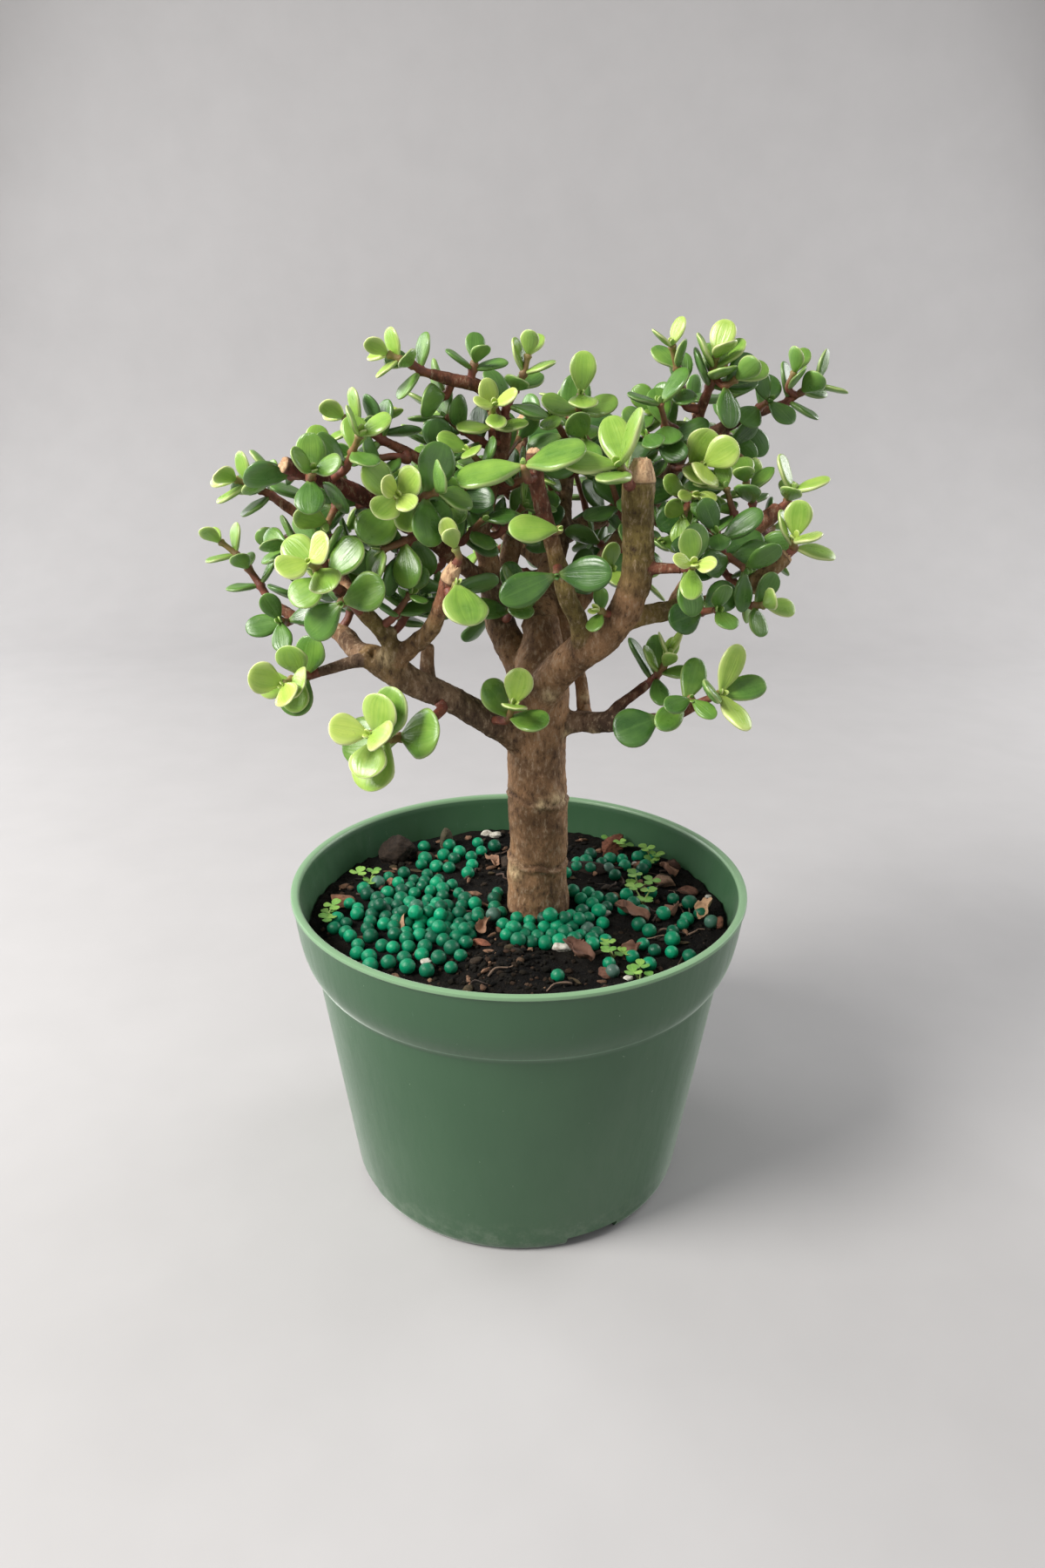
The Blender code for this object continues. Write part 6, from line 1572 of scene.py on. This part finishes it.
def make_stage():
    """A pale floor that sweeps up into a plain backdrop. Its sizes are in metres."""
    front, back, top, bend, half, steps = -2.0, 0.85, 1.6, 0.25, 2.5, 12
    profile = [(front, 0), (back - bend, 0)]
    for turn in (math.pi / 2 * k / steps for k in range(1, steps + 1)):
        profile.append((back - bend + bend * math.sin(turn), bend - bend * math.cos(turn)))
    profile.append((back, top))
    points = [(x, y, z) for y, z in profile for x in (-half, half)]
    faces = [(2 * i, 2 * i + 1, 2 * i + 3, 2 * i + 2) for i in range(len(profile) - 1)]
    mesh = bpy.data.meshes.new("floor")
    mesh.from_pydata(points, [], faces)
    mesh.materials.append(paper_look())
    mesh.shade_smooth()
    floor = link("floor", mesh)
    floor.location.z = -0.0002


def make_lights():
    for name, place, aim, size, power, colour in LIGHTS:
        data = bpy.data.lights.new(name, "AREA")
        data.shape, data.size, data.energy, data.color = "DISK", size, power, colour
        lamp = link(name, data)
        lamp.location = place
        lamp.rotation_euler = (Vector((0, 0, aim)) - Vector(place)).to_track_quat("-Z", "Y").to_euler()
    world = bpy.data.worlds.new("studio")
    world.use_nodes = True
    air = world.node_tree.nodes["Background"]
    air.inputs[0].default_value = (0.95, 0.945, 0.95, 1)
    air.inputs[1].default_value = 0.42
    bpy.context.scene.world = world


def make_camera():
    """The photograph's view: close, a little above the crown, tipped down."""
    data = bpy.data.cameras.new("camera")
    data.lens, data.sensor_width, data.sensor_fit = 25, 36, "AUTO"
    data.shift_x = 3 / 1800
    data.clip_start, data.clip_end = 0.01, 20
    camera = link("camera", data)
    camera.location = (0, -0.278, 0.225)
    tip = Quaternion((1, 0, 0), math.radians(90 - CAMERA_DOWN))
    camera.rotation_mode = "QUATERNION"
    camera.rotation_quaternion = tip @ Quaternion((0, 0, 1), math.radians(CAMERA_ROLL))
    bpy.context.scene.camera = camera


def main():
    noise.seed_set(SEED)  # else the crumpling of the dry leaves would follow the clock
    bpy.context.scene.view_settings.view_transform = "Standard"
    limb_lines, sprays, stems, node, leaves = grow()
    make_camera()
    make_lights()
    make_stage()
    make_foliage(sprays, stems, node, leaves, leaf_look(), stem_look())
    make_wood(limb_lines, bark_look())
    surface = make_mix(mix_look())
    make_crumbs(surface, crumb_look())
    make_beads(surface, bead_look())
    make_chips(surface, chip_look())
    litter = random.Random(SEED + 3)
    make_dry_leaves(surface, litter, dry_leaf_look())
    make_sticks(surface, litter, twig_look())
    make_white_bits(surface, litter, white_look())
    weed_looks = [weed_look(), weed_stem_look()]
    for name, (x, y) in SEEDLINGS.items():
        make_weed(name.replace("seedling", "weed"), x, y, surface, weed_looks, (name,))
    for name, (x, y) in WEEDS.items():
        make_weed("weed_" + name, x, y, surface, weed_looks)
    make_pot(pot_look())


main()
